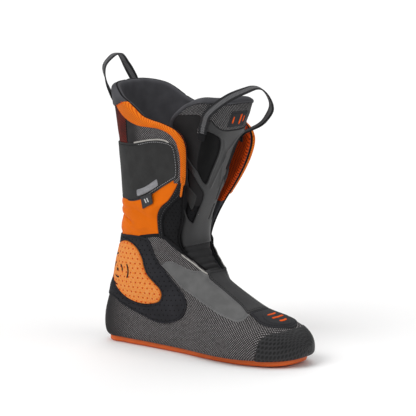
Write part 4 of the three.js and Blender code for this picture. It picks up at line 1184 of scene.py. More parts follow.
def dent(distance, width, depth):
    return depth * np.exp(-(distance / width) ** 2)


def flat(height):
    return lambda c: height


def sewn(low, high, edge=1.0, seam=None, puff=0.0, reach=14.0):
    """A sewn-on layer: rounded edge, a groove pulled in by its seam, and a gentle swell inside."""
    def top(c):
        height = low + (high - low) * rounded(c.t, edge) + puff * swell(c.t - 2, reach)
        return height - (dent(c.t - seam, 0.7, 0.45) if seam else 0)
    return top


SEAM_EDGE = (0, 0.12, 0.4, 0.8, 1.3, 1.8, 2.3, 2.9)
RIM_EDGE = (0, 0.1, 0.4, 0.9, 1.6, 2.6, 4.4)
MARK_EDGE = (0, 0.12, 0.4)
STRAP_EDGE = (0, 0.2, 0.6, 1.2, 2.0)
whole = skin_chart()


def part(name, region, top, bottom, material, slot, follows, *nodes, depths=EDGE, fill=None, chart=whole):
    """A sheet on its body, in place of CAD nodes."""
    piece = sheet(name, chart, region, top, bottom, MATERIALS[material], depths)
    fix(piece, slot, follows, *nodes, fill=fill)


def sew(name, lines, material, slot, follows, height, **size):
    fix(stitched(name, lines, MATERIALS[material], height, **size), slot, follows)


def lay_cord(name, line, side, height, radius, material, slot, follows, *nodes, spacing=1.2):
    """A cord along a side-view line, at a height over the foam."""
    places = skin_at(line[:, 0], line[:, 1], side, height)
    fix(tube(name, places, radius, MATERIALS[material], spacing), slot, follows, *nodes)


def overlay(node, region, material, slot, follows="foot", low=1.0, high=OVERLAY, edge=1.0, seam=2.3, puff=0.0,
            seam_thread="black_thread", bottom=0.3):
    """A layer sewn along its own edge, with its stitches, in place of the CAD node of the same name."""
    part(node + "_layer", region, sewn(low, high, edge, seam, puff), flat(bottom), material, slot, follows,
         node, depths=SEAM_EDGE if seam else EDGE)
    if seam and seam_thread:
        lines = contour(whole, region, seam)
        sew(node + "_stitches", lines, seam_thread, slot, follows, high + puff * 0.1 - 0.3)


# ---- foot ----------------------------------------------------------------------------------------


def longest(lines):
    return max(lines, key=lambda line: len(line.values))


def sole_outline():
    """The sole's edge seen from above, where the foot's side passes one level."""
    line = longest(contour(whole, lambda c: toe_spring(c.x) + SOLE["level"] - c.z, 0))
    return resampled(line.place(SOLE["edge"])[:, 0:2], 5)


def make_outsole():
    underside = STATIONS[10::-1, 0:2]  # of the foot, from the heel to the toe

    def top(c):
        floor = np.interp(c.x, underside[:, 0], underside[:, 1]) - 0.4
        rim = sole_rim(c.x) - 0.8 * (1 - rounded(c.t, 0.8))
        return rim + (np.minimum(floor, rim) - rim) * swell(c.t - 4, 5)

    def bottom(c):
        treaded = (c.x > TREAD["ball"]) | (c.x < TREAD["heel"])
        tread = dent(c.x % TREAD["pitch"] - TREAD["pitch"] / 2, 1.4, 1.0) * treaded * swell(c.t - 6, 2)
        return toe_spring(c.x) + 2.8 * (1 - rounded(c.t, 3)) + tread

    part("outsole_rubber", shape(sole_outline()), top, bottom, "rubber", "sole_rubber", "foot", "outsole",
         depths=(0, 0.12, 0.4, 0.8, 1.4, 2.2, 3, 5, 7, 9), chart=plan_chart(-4, 290, -52, 52, 1.6))


def pinch(c):
    """How far the back of the ankle is drawn in, above the heel."""
    return dent(c.q - 154, 6.5, 2.6) * swell(62 - c.p, 50)


def make_padding():
    """The foam of the foot and the cuff, which also shows at the throat."""
    notch = plan_shape(TONGUE_NOTCH, THROAT, FAR)
    counter = shape(HEEL_COUNTER)

    def top(c):
        return -1.9 * (counter(c) < 0.4) - pinch(c), 0.5 * (1 - rounded(c.t, 3.5))

    def bottom(c):
        return 0, 0.5 + 0.5 * rounded(c.t, 3.5)

    part("padding", all_of(without(opening), without(notch)), top, bottom, "foam", "liner_foam", FOOT_TO_CUFF,
         "foot_foam", "flex_foam", "cuff_foam", depths=(0, 0.1, 0.4, 0.9, 1.6, 2.5, 3.5), fill=0.7)


def lining_layer(height, thinner=0.0):
    """The inside of the foam, at a height over it, and round the rim."""
    return lambda c: (height - thinner * rounded(c.t, 3), 0.5 + 0.5 * turned_over(c))


def make_lining():
    region = all_of(within_rim(RIM["overhang"]), over(LINING_BOTTOM))
    part("lining", region, lining_layer(-0.3), lining_layer(-1.1), "lining", "lining_fabric", FOOT_TO_CUFF,
         "collar_lining", depths=RIM_EDGE, fill=0.4)


def make_rim_cords():
    """A cord round the rim: black at the back, and orange high in front."""
    edge = longest(contour(whole, without(opening), -0.9))
    places = edge.place(0.2, 0.55)
    back = edge.p < RIM_CORD["behind"]
    for i, run in enumerate(run for run in runs(back) if len(run) > 6):
        orange = edge.q[run].mean() > RIM_CORD["above"] and not back[run[0]]
        material = MATERIALS["trim_cord" if orange else "black_cord"]
        cord = tube(f"rim_cord_{i + 1}", places[run[0]:run[-1] + 2], 1.1, material, 2.2)
        fix(cord, "black_binding", FOOT_TO_CUFF)


def make_rim_roll():
    """The lining turned over the back of the rim, as a soft padded band."""
    sides = any_of(*[all_of(on_side(side), shape(RIM_ROLLS[side])) for side in (OUTER, INNER)])

    def top(c):
        flat_share = turned_over(c, 5)
        crown = 0.3 + 0.7 * rounded(c.t + RIM["overhang"] - flat_share, 3.4)
        return 3.4 * np.minimum(flat_share, crown), 0.55 * (1 - flat_share)

    def bottom(c):
        flat_share = turned_over(c, 5)
        return 0.2 * flat_share - 0.1, 0.59 * (1 - flat_share)

    part("rim_roll_cushion", all_of(sides, within_rim(RIM["overhang"])), top, bottom, "lining",
         "lining_fabric", "cuff", depths=(0, 0.1, 0.4, 0.9, 1.6, 2.6, 3.6, 4.8), fill=0.7)
    for title, depth, height in (("low", -1.2, 2.6), ("high", 0.6, 2.0)):
        lines = trimmed(contour(whole, sides, depth), before(RIM_STITCHES_START))
        sew(f"rim_roll_stitches_{title}", lines, "bright_thread", "rib_trim", "cuff", height, pitch=3.2,
            length=1.7, radius=0.55)


def make_vamp():
    covered = any_of(under(SKIRT["bottom"] - 0.3), shape(BELOW_BAND))
    region = all_of(above_sole, covered, without(shape(FOOT_FABRIC_OPENING)))
    part("vamp_mesh_cloth", region, sewn(0.6, CLOTH, 0.6), flat(0.2), "vamp", "light_mesh", "foot",
         "vamp_mesh")


def make_toe():
    overlay("toe_cap", all_of(shape(TOE_CAP), above_sole), "hex", "hex_grip", high=2.0, seam=None)
    patch = all_of(wider(plan_shape(TOE_PATCH_PLAN, FOREFOOT), -0.3), behind(TOE_PATCH_FRONT))
    overlay("toe_patch", patch, "patch", "dark_synthetic", high=2.7, puff=0.4)
    badge = plan_shape(TOE_BADGE_PLAN, FOREFOOT)
    overlay("toe_patch_badge", badge, "patch", "dark_synthetic", low=2.2, high=3.5, seam=None, bottom=1.4)
    for i, (x, y, reach) in enumerate(TOE_MARKS):
        bar = outline([[x - 1.3, y - reach], [x + 1.2, y - reach - 0.6]],
                      [[x + 1.2, y - reach - 0.6], [x + 2.2, y], [x + 1.2, y + reach]],
                      [[x + 1.2, y + reach], [x - 1.3, y + reach - 0.5]],
                      [[x - 1.3, y + reach - 0.5], [x - 0.4, y], [x - 1.3, y - reach]])
        part(f"toe_mark_{i + 1}", plan_shape(bar, FOREFOOT), sewn(3.4, 3.9, 0.5), flat(3.0), "orange_thread",
             "dark_synthetic", "foot", depths=MARK_EDGE)
    instep = all_of(plan_shape(INSTEP_PLAN, INSTEP), without(opening))
    overlay("instep_panel", instep, "instep", "dark_synthetic", puff=0.3)


def make_ankle(prefix, side):
    pad = shape(PAD)
    surround = all_of(on_side(side), shape(SURROUND), outside(pad))
    overlay(f"{prefix}_ankle_surround", surround, "surround", "perforated_surround", high=2.7, puff=0.9,
            seam=2.6)
    cushion = all_of(pad, on_side(side, 3.3))
    part(f"{prefix}_ankle_pad_cushion", cushion, sewn(1.2, 3.4, 2.4, 2.8, 1.3, 16), flat(1.2), "pad",
         "orange_pad", "foot", f"{prefix}_ankle_pad", depths=(0, 0.15, 0.5, 1.0, 1.7, 2.4, 3.0, 3.8),
         fill=0.6)
    sew(f"{prefix}_pad_stitches", contour(whole, cushion, 2.6), "orange_thread", "orange_pad", "foot", 3.0)
    wing = all_of(on_side(side), shape(WING_OVERLAY), outside(plan_shape(INSTEP_PLAN, INSTEP)),
                  outside(plan_shape(TOE_PATCH_PLAN, FOREFOOT)), outside(shape(SURROUND)))
    overlay(f"{prefix}_wing_overlay", wing, "wing", "grey_synthetic", seam=1.9, seam_thread="grey_thread",
            high=2.2)


def make_vamp_band(prefix, side):
    """The black band along the top of the foot's mesh."""
    line = smooth(VAMP_BAND, 6)
    region = all_of(on_side(side), lambda c: line_distance(c.p, c.q, line) - 2.1, within_rim(-0.4))
    part(f"{prefix}_vamp_band", region, sewn(0.8, 2.2, 1.6), flat(0.3), "binding", "black_binding", "foot",
         depths=(0, 0.15, 0.5, 1.0, 1.6))


def make_throat_piping(prefix, side):
    lay_cord(f"{prefix}_throat_cord", smooth(THROAT_CORD, 12), side, 1.7, 0.85, "pale_cord", "light_piping",
             "foot", f"{prefix}_throat_piping")


def make_footbed():
    def upper(c):
        return -1.9 - 4.2 * rounded(c.t, 3.0), 1

    part("footbed_cushion", under(FOOTBED_TOP), lambda c: (-1.8, 1), upper, "footbed", "footbed_fabric",
         "footbed", "footbed", depths=(0, 0.2, 0.7, 1.5, 3.0), fill=0.8)


# ---- ankle and cuff ------------------------------------------------------------------------------

CREASES = [  # side-view line, width and depth
    ([[12, 158.5], [30, 158], [50, 155], [64, 150]], 1.5, 2.4),
    ([[16, 150], [27, 148], [38, 139], [44, 133]], 1.4, 2.2),
    ([[14, 168], [34, 168.5], [52, 166], [66, 168]], 2.2, 1.3),
    ([[60, 172], [76, 164], [92, 158], [99, 152]], 2.4, 1.2),
    ([[52, 146], [70, 142], [88, 145], [98, 143]], 2.0, 1.0),
]


def make_skirt():
    below_mesh = any_of(under(FRONT_STRIP["bottom"] + 0.3), behind(FRONT_STRIP["back"] + 0.3))
    region = all_of(over(SKIRT["bottom"]), under(SKIRT["top"]), below_mesh, without(shape(BELOW_BAND)),
                    shape(BEHIND_BINDING), within_rim(-2))
    creases = [(smooth(points, 6), width, depth) for points, width, depth in CREASES]

    def top(c):
        loose = 2.4 * swell(c.q - SKIRT["bottom"] - 2, 12) * swell(184 - c.q, 12)
        height = 0.7 + 0.4 * rounded(c.t, 0.8) + loose * swell(c.t, 8)
        for line, width, depth in creases:
            ends = swell(c.p - line[:, 0].min() + 4, 12) * swell(line[:, 0].max() + 4 - c.p, 12)
            height = height - dent(line_distance(c.p, c.q, line), width, depth) * ends
        waves = 0.25 * np.sin(c.p / 6.5 + c.q / 9) * swell(c.t - 2, 8)
        return np.maximum(height, 0.45) + waves - pinch(c)

    def bottom(c):
        return 0.15 - pinch(c)

    part("ankle_skirt", region, top, bottom, "orange", "orange_knit", FOOT_TO_CUFF, "flex_gusset",
         "cuff_skirt", fill=0.4)


def make_binding(prefix, side):
    """The black tape along the front edge of the ankle."""
    region = all_of(on_side(side), over(BINDING["bottom"]), under(BINDING["top"]), shape(BINDING_BAND),
                    behind(BINDING["front"]), within_rim(-0.2))
    part(f"{prefix}_binding_tape", region, sewn(0.7, 2.3, 2.0), flat(0.2), "binding", "black_binding",
         FOOT_TO_CUFF, f"{prefix}_edge_binding", depths=STRAP_EDGE)
    sew(f"{prefix}_binding_stitches", contour(whole, region, 2.0), "grey_thread", "black_binding",
        FOOT_TO_CUFF, 2.15, radius=0.26, pitch=3.2)


def make_collar(prefix, side):
    upper = any_of(over(COLLAR_SEAM), all_of(over(FRONT_STRIP["bottom"]), before(FRONT_STRIP["back"])))
    mesh = all_of(upper, on_side(side), before(REAR_SEAM["x"]), within_rim(-2.5))
    part(f"{prefix}_collar_cloth", mesh, sewn(0.6, CLOTH, 0.6, puff=0.5), flat(0.2), "collar_mesh",
         "light_mesh", "cuff", f"{prefix}_collar_mesh")
    facing = all_of(on_side(side), shape(FACING), within_rim(RIM["overhang"]))
    part(f"{prefix}_facing_cloth", facing, lining_layer(-1.3), lining_layer(-1.8, 0.5), "facing", "rib_trim",
         "cuff", depths=RIM_EDGE)


def make_trim(prefix, side):
    """The ribbed trim round the rim, its stitches, and its narrow end on the outer side."""
    band = all_of(on_side(side), shape(TRIMS[side]), without(shape(RIM_ROLLS[side])))

    def top(c):
        flat_share = turned_over(c)
        crown = 0.45 + 0.55 * rounded(c.t + RIM["overhang"] - flat_share, 1.2)
        return 2.5 * np.minimum(flat_share, crown), 0.5 * (1 - flat_share)

    def bottom(c):
        flat_share = turned_over(c)
        return 0.3 * flat_share, 0.53 * (1 - flat_share)

    part(f"{prefix}_trim_facing", all_of(band, within_rim(RIM["overhang"])), top, bottom, "trim", "rib_trim",
         "cuff", f"{prefix}_collar_trim", depths=RIM_EDGE)
    if side == OUTER:
        lay_cord("outer_trim_tail", smooth(TRIM_TAIL, 8), side, 1.8, 1.25, "trim", "rib_trim", "cuff")
    lines = trimmed(contour(whole, band, 1.6), on_side(side))
    sew(f"{prefix}_trim_stitches", lines, "orange_thread", "rib_trim", "cuff", 2.5)


def trimmed(lines, *regions):
    """The stretches of lines that lie well inside all the regions, and outside the opening."""
    found = []
    for line in lines:
        keep = np.all([region(line) < -1 for region in regions] + [opening(line) > 1.5], axis=0)
        for run in runs(keep):
            if keep[run[0]] and len(run) > 3:
                found.append(Chart(line.values[run], None))
    return found


def make_cuff_panel():
    panel = shape(CUFF_PANEL)
    overlay("cuff_panel", panel, "panel", "dark_synthetic", "cuff", high=2.7, seam_thread=None, puff=0.3)
    lines = contour(whole, panel, 2.3)
    for title, thread_name, place in (("front", "pale_thread", before(PANEL_SEAM_CHANGE + 1)),
                                      ("back", "black_thread", behind(PANEL_SEAM_CHANGE - 1))):
        sew(f"cuff_panel_{title}_stitches", trimmed(lines, place), thread_name, "dark_synthetic", "cuff",
            2.55)
    for prefix, side in SIDES.items():
        lay_cord(f"{prefix}_panel_piping", smooth(PANEL_PIPING, 10), side, 1.9, 0.95, "pale_cord",
                 "light_piping", "cuff")


def make_rear_collar():
    rear = all_of(over(COLLAR_SEAM), behind(REAR_SEAM["x"] - 0.3), within_rim(-2.5))
    part("rear_collar_cloth", rear, sewn(0.6, CLOTH, 0.6, puff=0.4), flat(0.2), "rear_mesh", "rear_mesh",
         "cuff", "rear_collar_panel")
    up = np.linspace(COLLAR_SEAM + 2, REAR_SEAM["top"], 60)
    line = np.stack([REAR_SEAM["x"] + 0 * up, up], 1)
    for prefix, side in SIDES.items():
        lay_cord(f"{prefix}_rear_seam_cord", line, side, 1.0, 0.7, "black_cord", "black_binding", "cuff",
                 spacing=1.5)
    tab = all_of(behind(REAR_TAB["depth"]), over(REAR_TAB["bottom"]), under(REAR_TAB["top"]))
    overlay("rear_loop_tab", tab, "binding", "webbing", "cuff", low=1.2, high=2.4, seam=2.2)


def make_labels():
    """The silver strip and the small tag on the outer side."""
    strip = all_of(on_side(OUTER), shape(REFLECTIVE))
    overlay("reflective_strip", strip, "silver", "reflective_tape", "cuff", low=2.2, high=3.4, edge=0.6,
            seam=None, bottom=1.9)
    label = all_of(on_side(OUTER), shape(TAG))
    overlay("side_tag", label, "tag", "tag_weave", "tag", low=4.1, high=5.0, edge=0.5, seam=None, bottom=4.0)


# ---- tongue --------------------------------------------------------------------------------------

# Tongue outlines are (turn, row of TONGUE) points, apart from those said to be unrolled: millimetres from the
# tongue's middle and base.
# The wing's edge, unrolled.
TONGUE_SHOULDER = [[-43, 146], [-47, 158], [-56, 172], [-72, 184], [-83, 195], [-87.5, 207], [-86.5, 216],
                   [-82, 226], [-75, 238], [-64, 249.5], [-52, 254.6], [-38, 256], [-19, 256.6], [0, 256.8]]
TONGUE_BASE = {"row": 0.15, "shoulder_row": 7.2, "wing": 82}
ROLL = {"width": 6.8, "foot": 176, "gap": 0.8}  # along the tongue's edge; it starts at its foot, unrolled
MESH_BOTTOM = [[-90, 216], [-75, 222], [-52, 232.5], [-46, 226], [-40, 206], [40, 206], [46, 226],
               [52, 232.5], [75, 222], [90, 216]]  # unrolled
FLEX_END, FLEX_WING = 4.4, 83
TONGUE_LINING_TOP = 24
TAB = {"wing": 8, "low": 8.84, "high": 9.16}  # under each end of the pull loop
GROOVES = (2.35, 2.8, 3.4, 4.0)  # rows where the tongue folds
WINDOW_EDGE = [[-9.4, 8.11], [-14, 7.72], [-17, 7.48], [-24, 7.46], [-38, 7.57], [-55, 7.77]]
WINDOWS = [
    outline([[-88, 9.4], [-53, 9.3]],
            [[-53, 9.3], [-38, 9.24], [-21, 9.1], [-12, 8.88], [-8, 8.55], *WINDOW_EDGE],
            [[-55, 7.77], [-88, 8.14]]),
    outline([[-88, 7.84], [-57, 7.55], [-25, 7.25]], [[-25, 7.25], [-17.6, 7.04], [-23, 6.52], [-30, 5.84]],
            [[-30, 5.84], [-58, 6.07], [-88, 6.55]]),
]
WINDOW_PLATE = smooth([[-81, 7.27], [-47, 7.1], [-43, 7.01], [-47, 6.56], [-55, 6.53], [-81, 6.96]],
                      closed=True)
RECESS = smooth([[-52, 9.28], [-38, 9.24], [-21, 9.1], [-12, 8.88], [-8, 8.55], *WINDOW_EDGE, [-60, 8.06],
                 [-60, 8.63], [-56.5, 9.15]], closed=True)
LIP = smooth([[-47, 9.37], [-12.7, 9.05], [-1.4, 8.6], [0, 8.29], [-1, 7.79], [-5.6, 7.36]])
SHELL_SIDE = [[-FLEX_WING, FLEX_END], [-84, 6.0], [-86, 6.6], [-87, 7.6], [-87, 8.3], [-68, 8.43],
              [-59, 9.18], [-53.5, 9.54], [-50, 9.86]]
SHELL_TOP = [[-50, 9.86], [-35, 9.6], [-15, 9.4], [6, 9.36], [25, 9.45], [40, 9.65], [50, 9.86]]
SLITS = [box(8.8, 11.6, low, high) for low, high in ((7.82, 8.35), (6.9, 7.65), (5.99, 6.75))]
SHELL_MARK = np.array([[-21.6, 6.81], [-20.2, 6.83], [-18.4, 6.28], [-19.8, 6.25]])
BADGE = np.array([[-8, 9.52], [12, 9.5], [12, 10.3], [-8, 10.3]])
BADGE_MARKS = [box(-3.4, -1.8, 9.72, 10.08), box(1.1, 2.7, 9.64, 10.16), box(5.6, 7.2, 9.74, 10.06)]
LOOP = {"turn": 61, "lift": 5.3}  # where the tongue's pull loop is sewn on, either side of the middle

front = tongue_chart(0.1, 11.7, wing=88, tail=30)


def unrolled(points):
    """An outline of (turn, row) points as one on the unrolled tongue, in millimetres."""
    points = np.asarray(points, float)
    return np.stack(tongue_flat(points[:, 1], points[:, 0]), -1)


def on_tongue(points):
    return shape(unrolled(points))


def mirrored(points):
    return np.asarray(points, float) * [-1, 1]


def both_ways(points):
    return np.asarray(points, float), mirrored(points)


def tongue_band(start, end, wing):
    """The unrolled outline of the tongue between two rows."""
    rows, turns = np.linspace(start, end, 40), np.linspace(-wing, wing, 61)
    low, high = (np.stack([turns, row_of + 0 * turns], 1) for row_of in (start, end))
    side = np.stack([wing + 0 * rows, rows], 1)
    return unrolled(np.concatenate([low, side, high[::-1], mirrored(side)[::-1]]))


def tongue_outline():
    """The whole tongue, unrolled: a narrow base, then wings that sweep back to rounded shoulders."""
    first, last, wing = TONGUE_BASE["row"], TONGUE_BASE["shoulder_row"], TONGUE_BASE["wing"]
    low = tongue_band(first, last, wing)[0:61]
    side = unrolled(np.stack([np.full(30, float(wing)), np.linspace(first, last, 30)], 1))[1:]
    side = np.concatenate([side, smooth(mirrored(TONGUE_SHOULDER), 6)])
    return np.concatenate([low, side, mirrored(side)[::-1]])


tongue_edge = shape(tongue_outline())
inside_roll = wider(tongue_edge, ROLL["gap"] - ROLL["width"])
groove_heights = unrolled([[0, at] for at in GROOVES])[:, 1]


def grooves(c):
    return sum(dent(c.q - at, 1.5, 1.7) for at in groove_heights)


def tongue_part(name, region, top, bottom, material, slot, follows, *nodes, **more):
    part(name, region, top, bottom, material, slot, follows, *nodes, chart=front, **more)


def make_tongue_padding():
    region = wider(tongue_edge, -3)

    def top(c):
        waves = 0.16 * np.sin(c.p / 9) * swell(c.t, 6)
        return waves - grooves(c) - 0.3 * (1 - rounded(c.t, 3)), 0.5 * (1 - rounded(c.t, 3.5))

    def bottom(c):
        return 0, 0.5 + 0.5 * rounded(c.t, 3.5)

    def inside(c):
        return -0.9 - 0.4 * rounded(c.t, 2), 1

    tongue_part("tongue_padding", region, top, bottom, "foam", "liner_foam", FOOT_TO_TONGUE, "tongue_base",
                "tongue_flex", "tongue_foam", depths=(0, 0.2, 0.7, 1.4, 2.4, 3.5), fill=0.7)
    tongue_part("tongue_lining_cloth", all_of(region, lambda c: TONGUE_LINING_TOP - c.q), lambda c: (-0.3, 1),
                inside, "lining", "lining_fabric", FOOT_TO_TONGUE, "tongue_lining", fill=0.3)


def make_tongue_shell(plate):
    windows = [on_tongue(points) for window in WINDOWS for points in both_ways(window)]
    holes = windows + [on_tongue(slit) for slit in SLITS]
    lips = [unrolled(points) for points in both_ways(LIP)]

    def top(c):
        raised_lips = sum(dent(line_distance(c.p, c.q, lip), 1.3, 0.8) for lip in lips)
        height = 0.7 + 1.5 * rounded(c.t, 1.1) + raised_lips
        border = np.minimum(np.abs(windows[0](c) - 2.6), np.abs(windows[1](c) - 2.6))
        return height - dent(border, 0.8, 0.35)

    tongue_part("tongue_shell_plate", all_of(plate, *map(without, holes)), top, flat(0.5), "plastic",
                "tongue_plastic", "tongue", "tongue_shell", depths=(0, 0.12, 0.4, 0.8, 1.2, 2))
    for prefix, points in zip(SIDES, both_ways(WINDOW_PLATE)):
        tongue_part(f"{prefix}_window_plate", on_tongue(points), sewn(0.5, 1.3, 0.8, puff=0.5), flat(0.1),
                    "panel", "tongue_plastic", "tongue")
    tongue_part("shell_mark", on_tongue(SHELL_MARK), sewn(2.2, 2.6, 0.4), flat(1.8), "silver",
                "tongue_plastic", "tongue", depths=MARK_EDGE)


def make_tongue_sides():
    """Smooth cloth on the wings, between the shell and the roll, and over the grooves. Near-black cloth in
    the shell's upper windows is painted shade.
    """
    recesses = [on_tongue(points) for points in both_ways(RECESS)]
    # The recess cloth is painted shade: near-black, darker than the real dark cloth, for the deep shadow
    # inside the upper windows.
    for prefix, recess in zip(SIDES, recesses):
        tongue_part(f"{prefix}_recess_painted_shade_cloth", recess, flat(0.35), flat(0.1), "recess", "dark_synthetic",
                    "tongue")
    below_mesh = shape(outline(MESH_BOTTOM, [[90, 120], [-90, 120]]))
    region = all_of(inside_roll, below_mesh, *[outside(recess, -0.3) for recess in recesses])
    tongue_part("tongue_side_cloth", region, sewn(0.2, 0.8, 0.6), flat(0.1), "side_cloth", "dark_synthetic",
                "tongue")

    def folded(height):
        return lambda c: height - 0.5 * (1 - rounded(c.t, 0.8)) - grooves(c)

    tongue_part("tongue_flex_cloth", shape(tongue_band(0.5, FLEX_END + 0.1, FLEX_WING)), folded(0.8),
                folded(0.1), "flex_cloth", "dark_synthetic", FOOT_TO_TONGUE)


def make_tongue_top(plate):
    above = shape(outline(MESH_BOTTOM, [[FAR, FAR], [-FAR, FAR]]))
    tongue_part("tongue_mesh_cloth", all_of(inside_roll, outside(plate, 0.2), above),
                sewn(0.4, 1.3, 0.8, puff=0.5), flat(0.15), "tongue_mesh", "tongue_mesh", "tongue",
                "tongue_mesh_panel")
    tongue_part("tongue_badge_patch", on_tongue(BADGE), sewn(1.2, 2.4, 1.0, 1.6), flat(1.0), "patch",
                "dark_synthetic", "tongue", "tongue_badge", depths=SEAM_EDGE)
    for i, bar in enumerate(BADGE_MARKS):
        tongue_part(f"tongue_mark_{i + 1}", on_tongue(bar), sewn(2.3, 2.8, 0.4), flat(2.0), "orange_thread",
                    "dark_synthetic", "tongue", depths=MARK_EDGE)
    for prefix, side in SIDES.items():
        turn = side * LOOP["turn"]
        tab = on_tongue(box(turn - TAB["wing"], turn + TAB["wing"], TAB["low"], TAB["high"]))
        tongue_part(f"{prefix}_loop_tab", tab, sewn(2.4, 3.7, 0.7), flat(2.3), "binding", "webbing", "tongue",
                    f"{prefix}_tongue_loop_tab")


def make_tongue_roll():
    """The soft roll round the tongue's wings and top."""
    def top(c):
        return 2.4 * rounded(c.t, 3.4) - 0.3, 0.5 * (1 - rounded(c.t, 3.4))

    def bottom(c):
        return -1.6 * rounded(c.t, 3.4), 0.5 + 0.5 * rounded(c.t, 3.4)

    band = all_of(tongue_edge, outside(tongue_edge, -ROLL["width"]), lambda c: ROLL["foot"] - c.q)
    tongue_part("tongue_roll_cushion", band, top, bottom, "lining", "lining_fabric", "tongue",
                "tongue_top_roll", depths=(0, 0.1, 0.4, 0.9, 1.5, 2.2, 2.9, 3.4), fill=0.7)


# ---- pull loops ----------------------------------------------------------------------------------

STRAP = {"width": 10, "thickness": 1.5}
REAR_LOOP = {
    "points": [[17.6, -22, 291], [14.5, -25, 299], [7, -25.5, 314], [0, -20, 331], [2, -9, 342], [4, 0, 345],
               [2, 9, 342], [0, 20, 331], [7, 25.5, 314], [14.5, 25, 299], [17.6, 22, 291]],
    "across": [[0.25, -1, 0], [0.3, -1, 0], [0.6, -0.8, 0], [0.9, -0.4, 0], [1, -0.1, 0], [1, 0, 0],
               [1, 0.1, 0], [0.9, 0.4, 0], [0.6, 0.8, 0], [0.3, 1, 0], [0.25, 1, 0]],
}


def loop_end(side, at):
    """A place where the tongue's loop is sewn on, and the webbing's direction across itself there."""
    turns = side * np.array([LOOP["turn"], LOOP["turn"] - 5, LOOP["turn"] + 5])
    place, first, second = tongue(np.full(3, at), turns, LOOP["lift"])
    return place.tolist(), unit(first - second).tolist()


OUTER_END, INNER_END = ([loop_end(side, at) for at in rows]
                        for side, rows in ((OUTER, (9.2, 9.65)), (INNER, (9.1, 8.75))))
TONGUE_LOOP = {
    "points": [OUTER_END[0][0], OUTER_END[1][0], [176, -44, 288], [191, -29, 304], [203, -9, 313],
               [205, 6, 315], [205, 20, 311], [205, 32, 301], [201, 42, 289], [191, 47, 277], [180, 47, 267],
               INNER_END[0][0], INNER_END[1][0]],
    "across": [OUTER_END[0][1], OUTER_END[1][1], [1, 0.6, -0.5], [1, 0.4, -0.7], [1, 0.1, -0.5], [1, 0, -0.4],
               [1, -0.1, -0.5], [1, -0.2, -0.6], [1, -0.3, -0.5], [1, -0.5, -0.3], [1, -0.6, -0.2],
               INNER_END[0][1], INNER_END[1][1]],
}


def make_strap(name, route, body, node):
    """Flat webbing along a line, with its bar tacks."""
    centre = smooth(route["points"], 12)
    tangents = unit(np.gradient(centre, axis=0))
    width = smooth(route["across"], 12)
    width = unit(width - (width * tangents).sum(1, keepdims=True) * tangents)
    thick = np.cross(tangents, width)
    across = np.linspace(-1, 1, 15)
    edge = np.sqrt(1 - np.abs(across) ** 8) * 0.5 + 0.06 * np.cos(across * math.pi * 4)
    edge[[0, -1]] = 0.16
    ring = np.concatenate([np.stack([across, edge], 1), np.stack([across[::-1], -edge[::-1]], 1)])
    ring *= [STRAP["width"] / 2, STRAP["thickness"]]
    rings = centre[:, None] + ring[None, :, :1] * width[:, None] + ring[None, :, 1:] * thick[:, None]
    strap = loft(name, rings, np.append(ring[:, 0], ring[0, 0]), MATERIALS["webbing"])
    fix(strap, "webbing", body, node)
    tacks = []
    for at in (2, 5, 8, -9, -6, -3):
        for side in (1, -1):
            line = centre[at] + np.linspace(-4.4, 4.4, 12)[:, None] * width[at]
            facing = np.repeat(thick[[at]] * side, 12, 0)
            tacks.append(Chart(np.hstack([line, facing, np.zeros((12, 9))]), None))
    sew(name + "_tacks", tacks, "black_thread", "webbing", body, 0.75, pitch=1.5, length=1.3)


# ---- pieces that keep their CAD shape ------------------------------------------------------------


def bare_finish(name, colour, roughness, grain):
    """A finish for a node without UV maps."""
    f = Finish(name, roughness)
    f.colour(f.mottled(colour, 0.15, 9.0))
    return f.bump(f.noise(grain, 4.0), 0.06).material


def finish_nodes():
    for node, material in (("insole_board", bare_finish("fibre_board", rgb(138, 131, 118), 0.9, 1.2)),
                           ("heel_counter", bare_finish("counter_sheet", rgb(70, 70, 72), 0.5, 0.7))):
        mesh = frame["nodes"][node].data
        mesh.materials.clear()
        mesh.materials.append(material)


# ---- floor, lights and camera --------------------------------------------------------------------

CAMERA = {"azimuth": 38, "elevation": 9.5, "distance": 2.2, "height": 0.150, "lens": 162.8,
          "shift": (-0.0036, 0.0428)}
LIGHTS = [  # azimuth, elevation and softness in degrees, and strength
    (-15, 46, 40, 1.45),
    (100, 38, 50, 0.6),
    (215, 50, 50, 0.65),
    (40, 82, 60, 0.75),
]
SKY = 0.27  # strength of the light from all round


def direction(azimuth, elevation):
    a, e = math.radians(azimuth), math.radians(elevation)
    return Vector((math.sin(a) * math.cos(e), -math.cos(a) * math.cos(e), math.sin(e)))


def make_camera():
    data = bpy.data.cameras.new("camera")
    data.lens = CAMERA["lens"]
    data.sensor_width = 36
    data.shift_x, data.shift_y = CAMERA["shift"]
    camera = bpy.data.objects.new("camera", data)
    back = direction(CAMERA["azimuth"], CAMERA["elevation"])
    camera.location = Vector((0, 0, CAMERA["height"])) + back * CAMERA["distance"]
    camera.rotation_mode = "QUATERNION"
    camera.rotation_quaternion = (-back).to_track_quat("-Z", "Y")
    bpy.context.scene.collection.objects.link(camera)
    bpy.context.scene.camera = camera


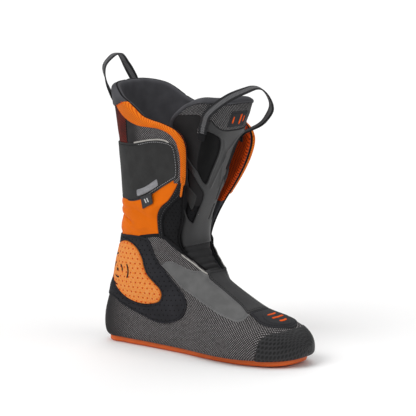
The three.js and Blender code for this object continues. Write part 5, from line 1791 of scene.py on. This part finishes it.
def make_studio():
    for i, (azimuth, elevation, softness, strength) in enumerate(LIGHTS):
        data = bpy.data.lights.new(f"lamp_{i + 1}", "SUN")
        data.angle, data.energy = math.radians(softness), strength
        lamp = bpy.data.objects.new(data.name, data)
        away = direction(azimuth, elevation)
        lamp.location = away * 2
        lamp.rotation_mode = "QUATERNION"
        lamp.rotation_quaternion = (-away).to_track_quat("-Z", "Y")
        bpy.context.scene.collection.objects.link(lamp)
    size = 12.0
    mesh = bpy.data.meshes.new("floor")
    mesh.from_pydata([(-size, -size, 0), (size, -size, 0), (size, size, 0), (-size, size, 0)], [],
                     [(0, 1, 2, 3)])
    floor = bpy.data.objects.new("floor", mesh)
    f = Finish("floor_paper", 0.95, specular=0.1)
    f.colour((0.97, 0.97, 0.97, 1))
    f.bump(f.noise(300.0), 0.05)
    mesh.materials.append(f.material)
    bpy.context.scene.collection.objects.link(floor)
    world = bpy.data.worlds.new("studio")
    world.use_nodes = True
    tree = world.node_tree
    background = tree.nodes["Background"]
    background.inputs["Color"].default_value = (1, 1, 1, 1)
    seen = tree.nodes.new("ShaderNodeLightPath").outputs["Is Camera Ray"]
    strength = tree.nodes.new("ShaderNodeMapRange")
    strength.inputs["To Min"].default_value, strength.inputs["To Max"].default_value = SKY, 1.0
    tree.links.new(seen, strength.inputs["Value"])
    tree.links.new(strength.outputs["Result"], background.inputs["Strength"])
    bpy.context.scene.world = world
    bpy.context.scene.view_settings.view_transform = "Standard"


# ---- assembly ------------------------------------------------------------------------------------

make_outsole()
make_padding()
make_lining()
make_rim_cords()
make_rim_roll()
make_footbed()
make_vamp()
make_toe()
make_skirt()
for prefix, side in SIDES.items():
    make_ankle(prefix, side)
    make_vamp_band(prefix, side)
    make_throat_piping(prefix, side)
    make_binding(prefix, side)
    make_collar(prefix, side)
    make_trim(prefix, side)
make_cuff_panel()
make_rear_collar()
make_labels()
make_tongue_padding()
shell = on_tongue(outline(SHELL_SIDE, SHELL_TOP, mirrored(SHELL_SIDE)[::-1]))
make_tongue_shell(shell)
make_tongue_sides()
make_tongue_top(shell)
make_tongue_roll()
make_strap("rear_loop_webbing", REAR_LOOP, "rear_loop", "rear_pull_loop")
make_strap("tongue_loop_webbing", TONGUE_LOOP, "tongue_loop", "tongue_pull_loop")
finish_nodes()
make_camera()
make_studio()
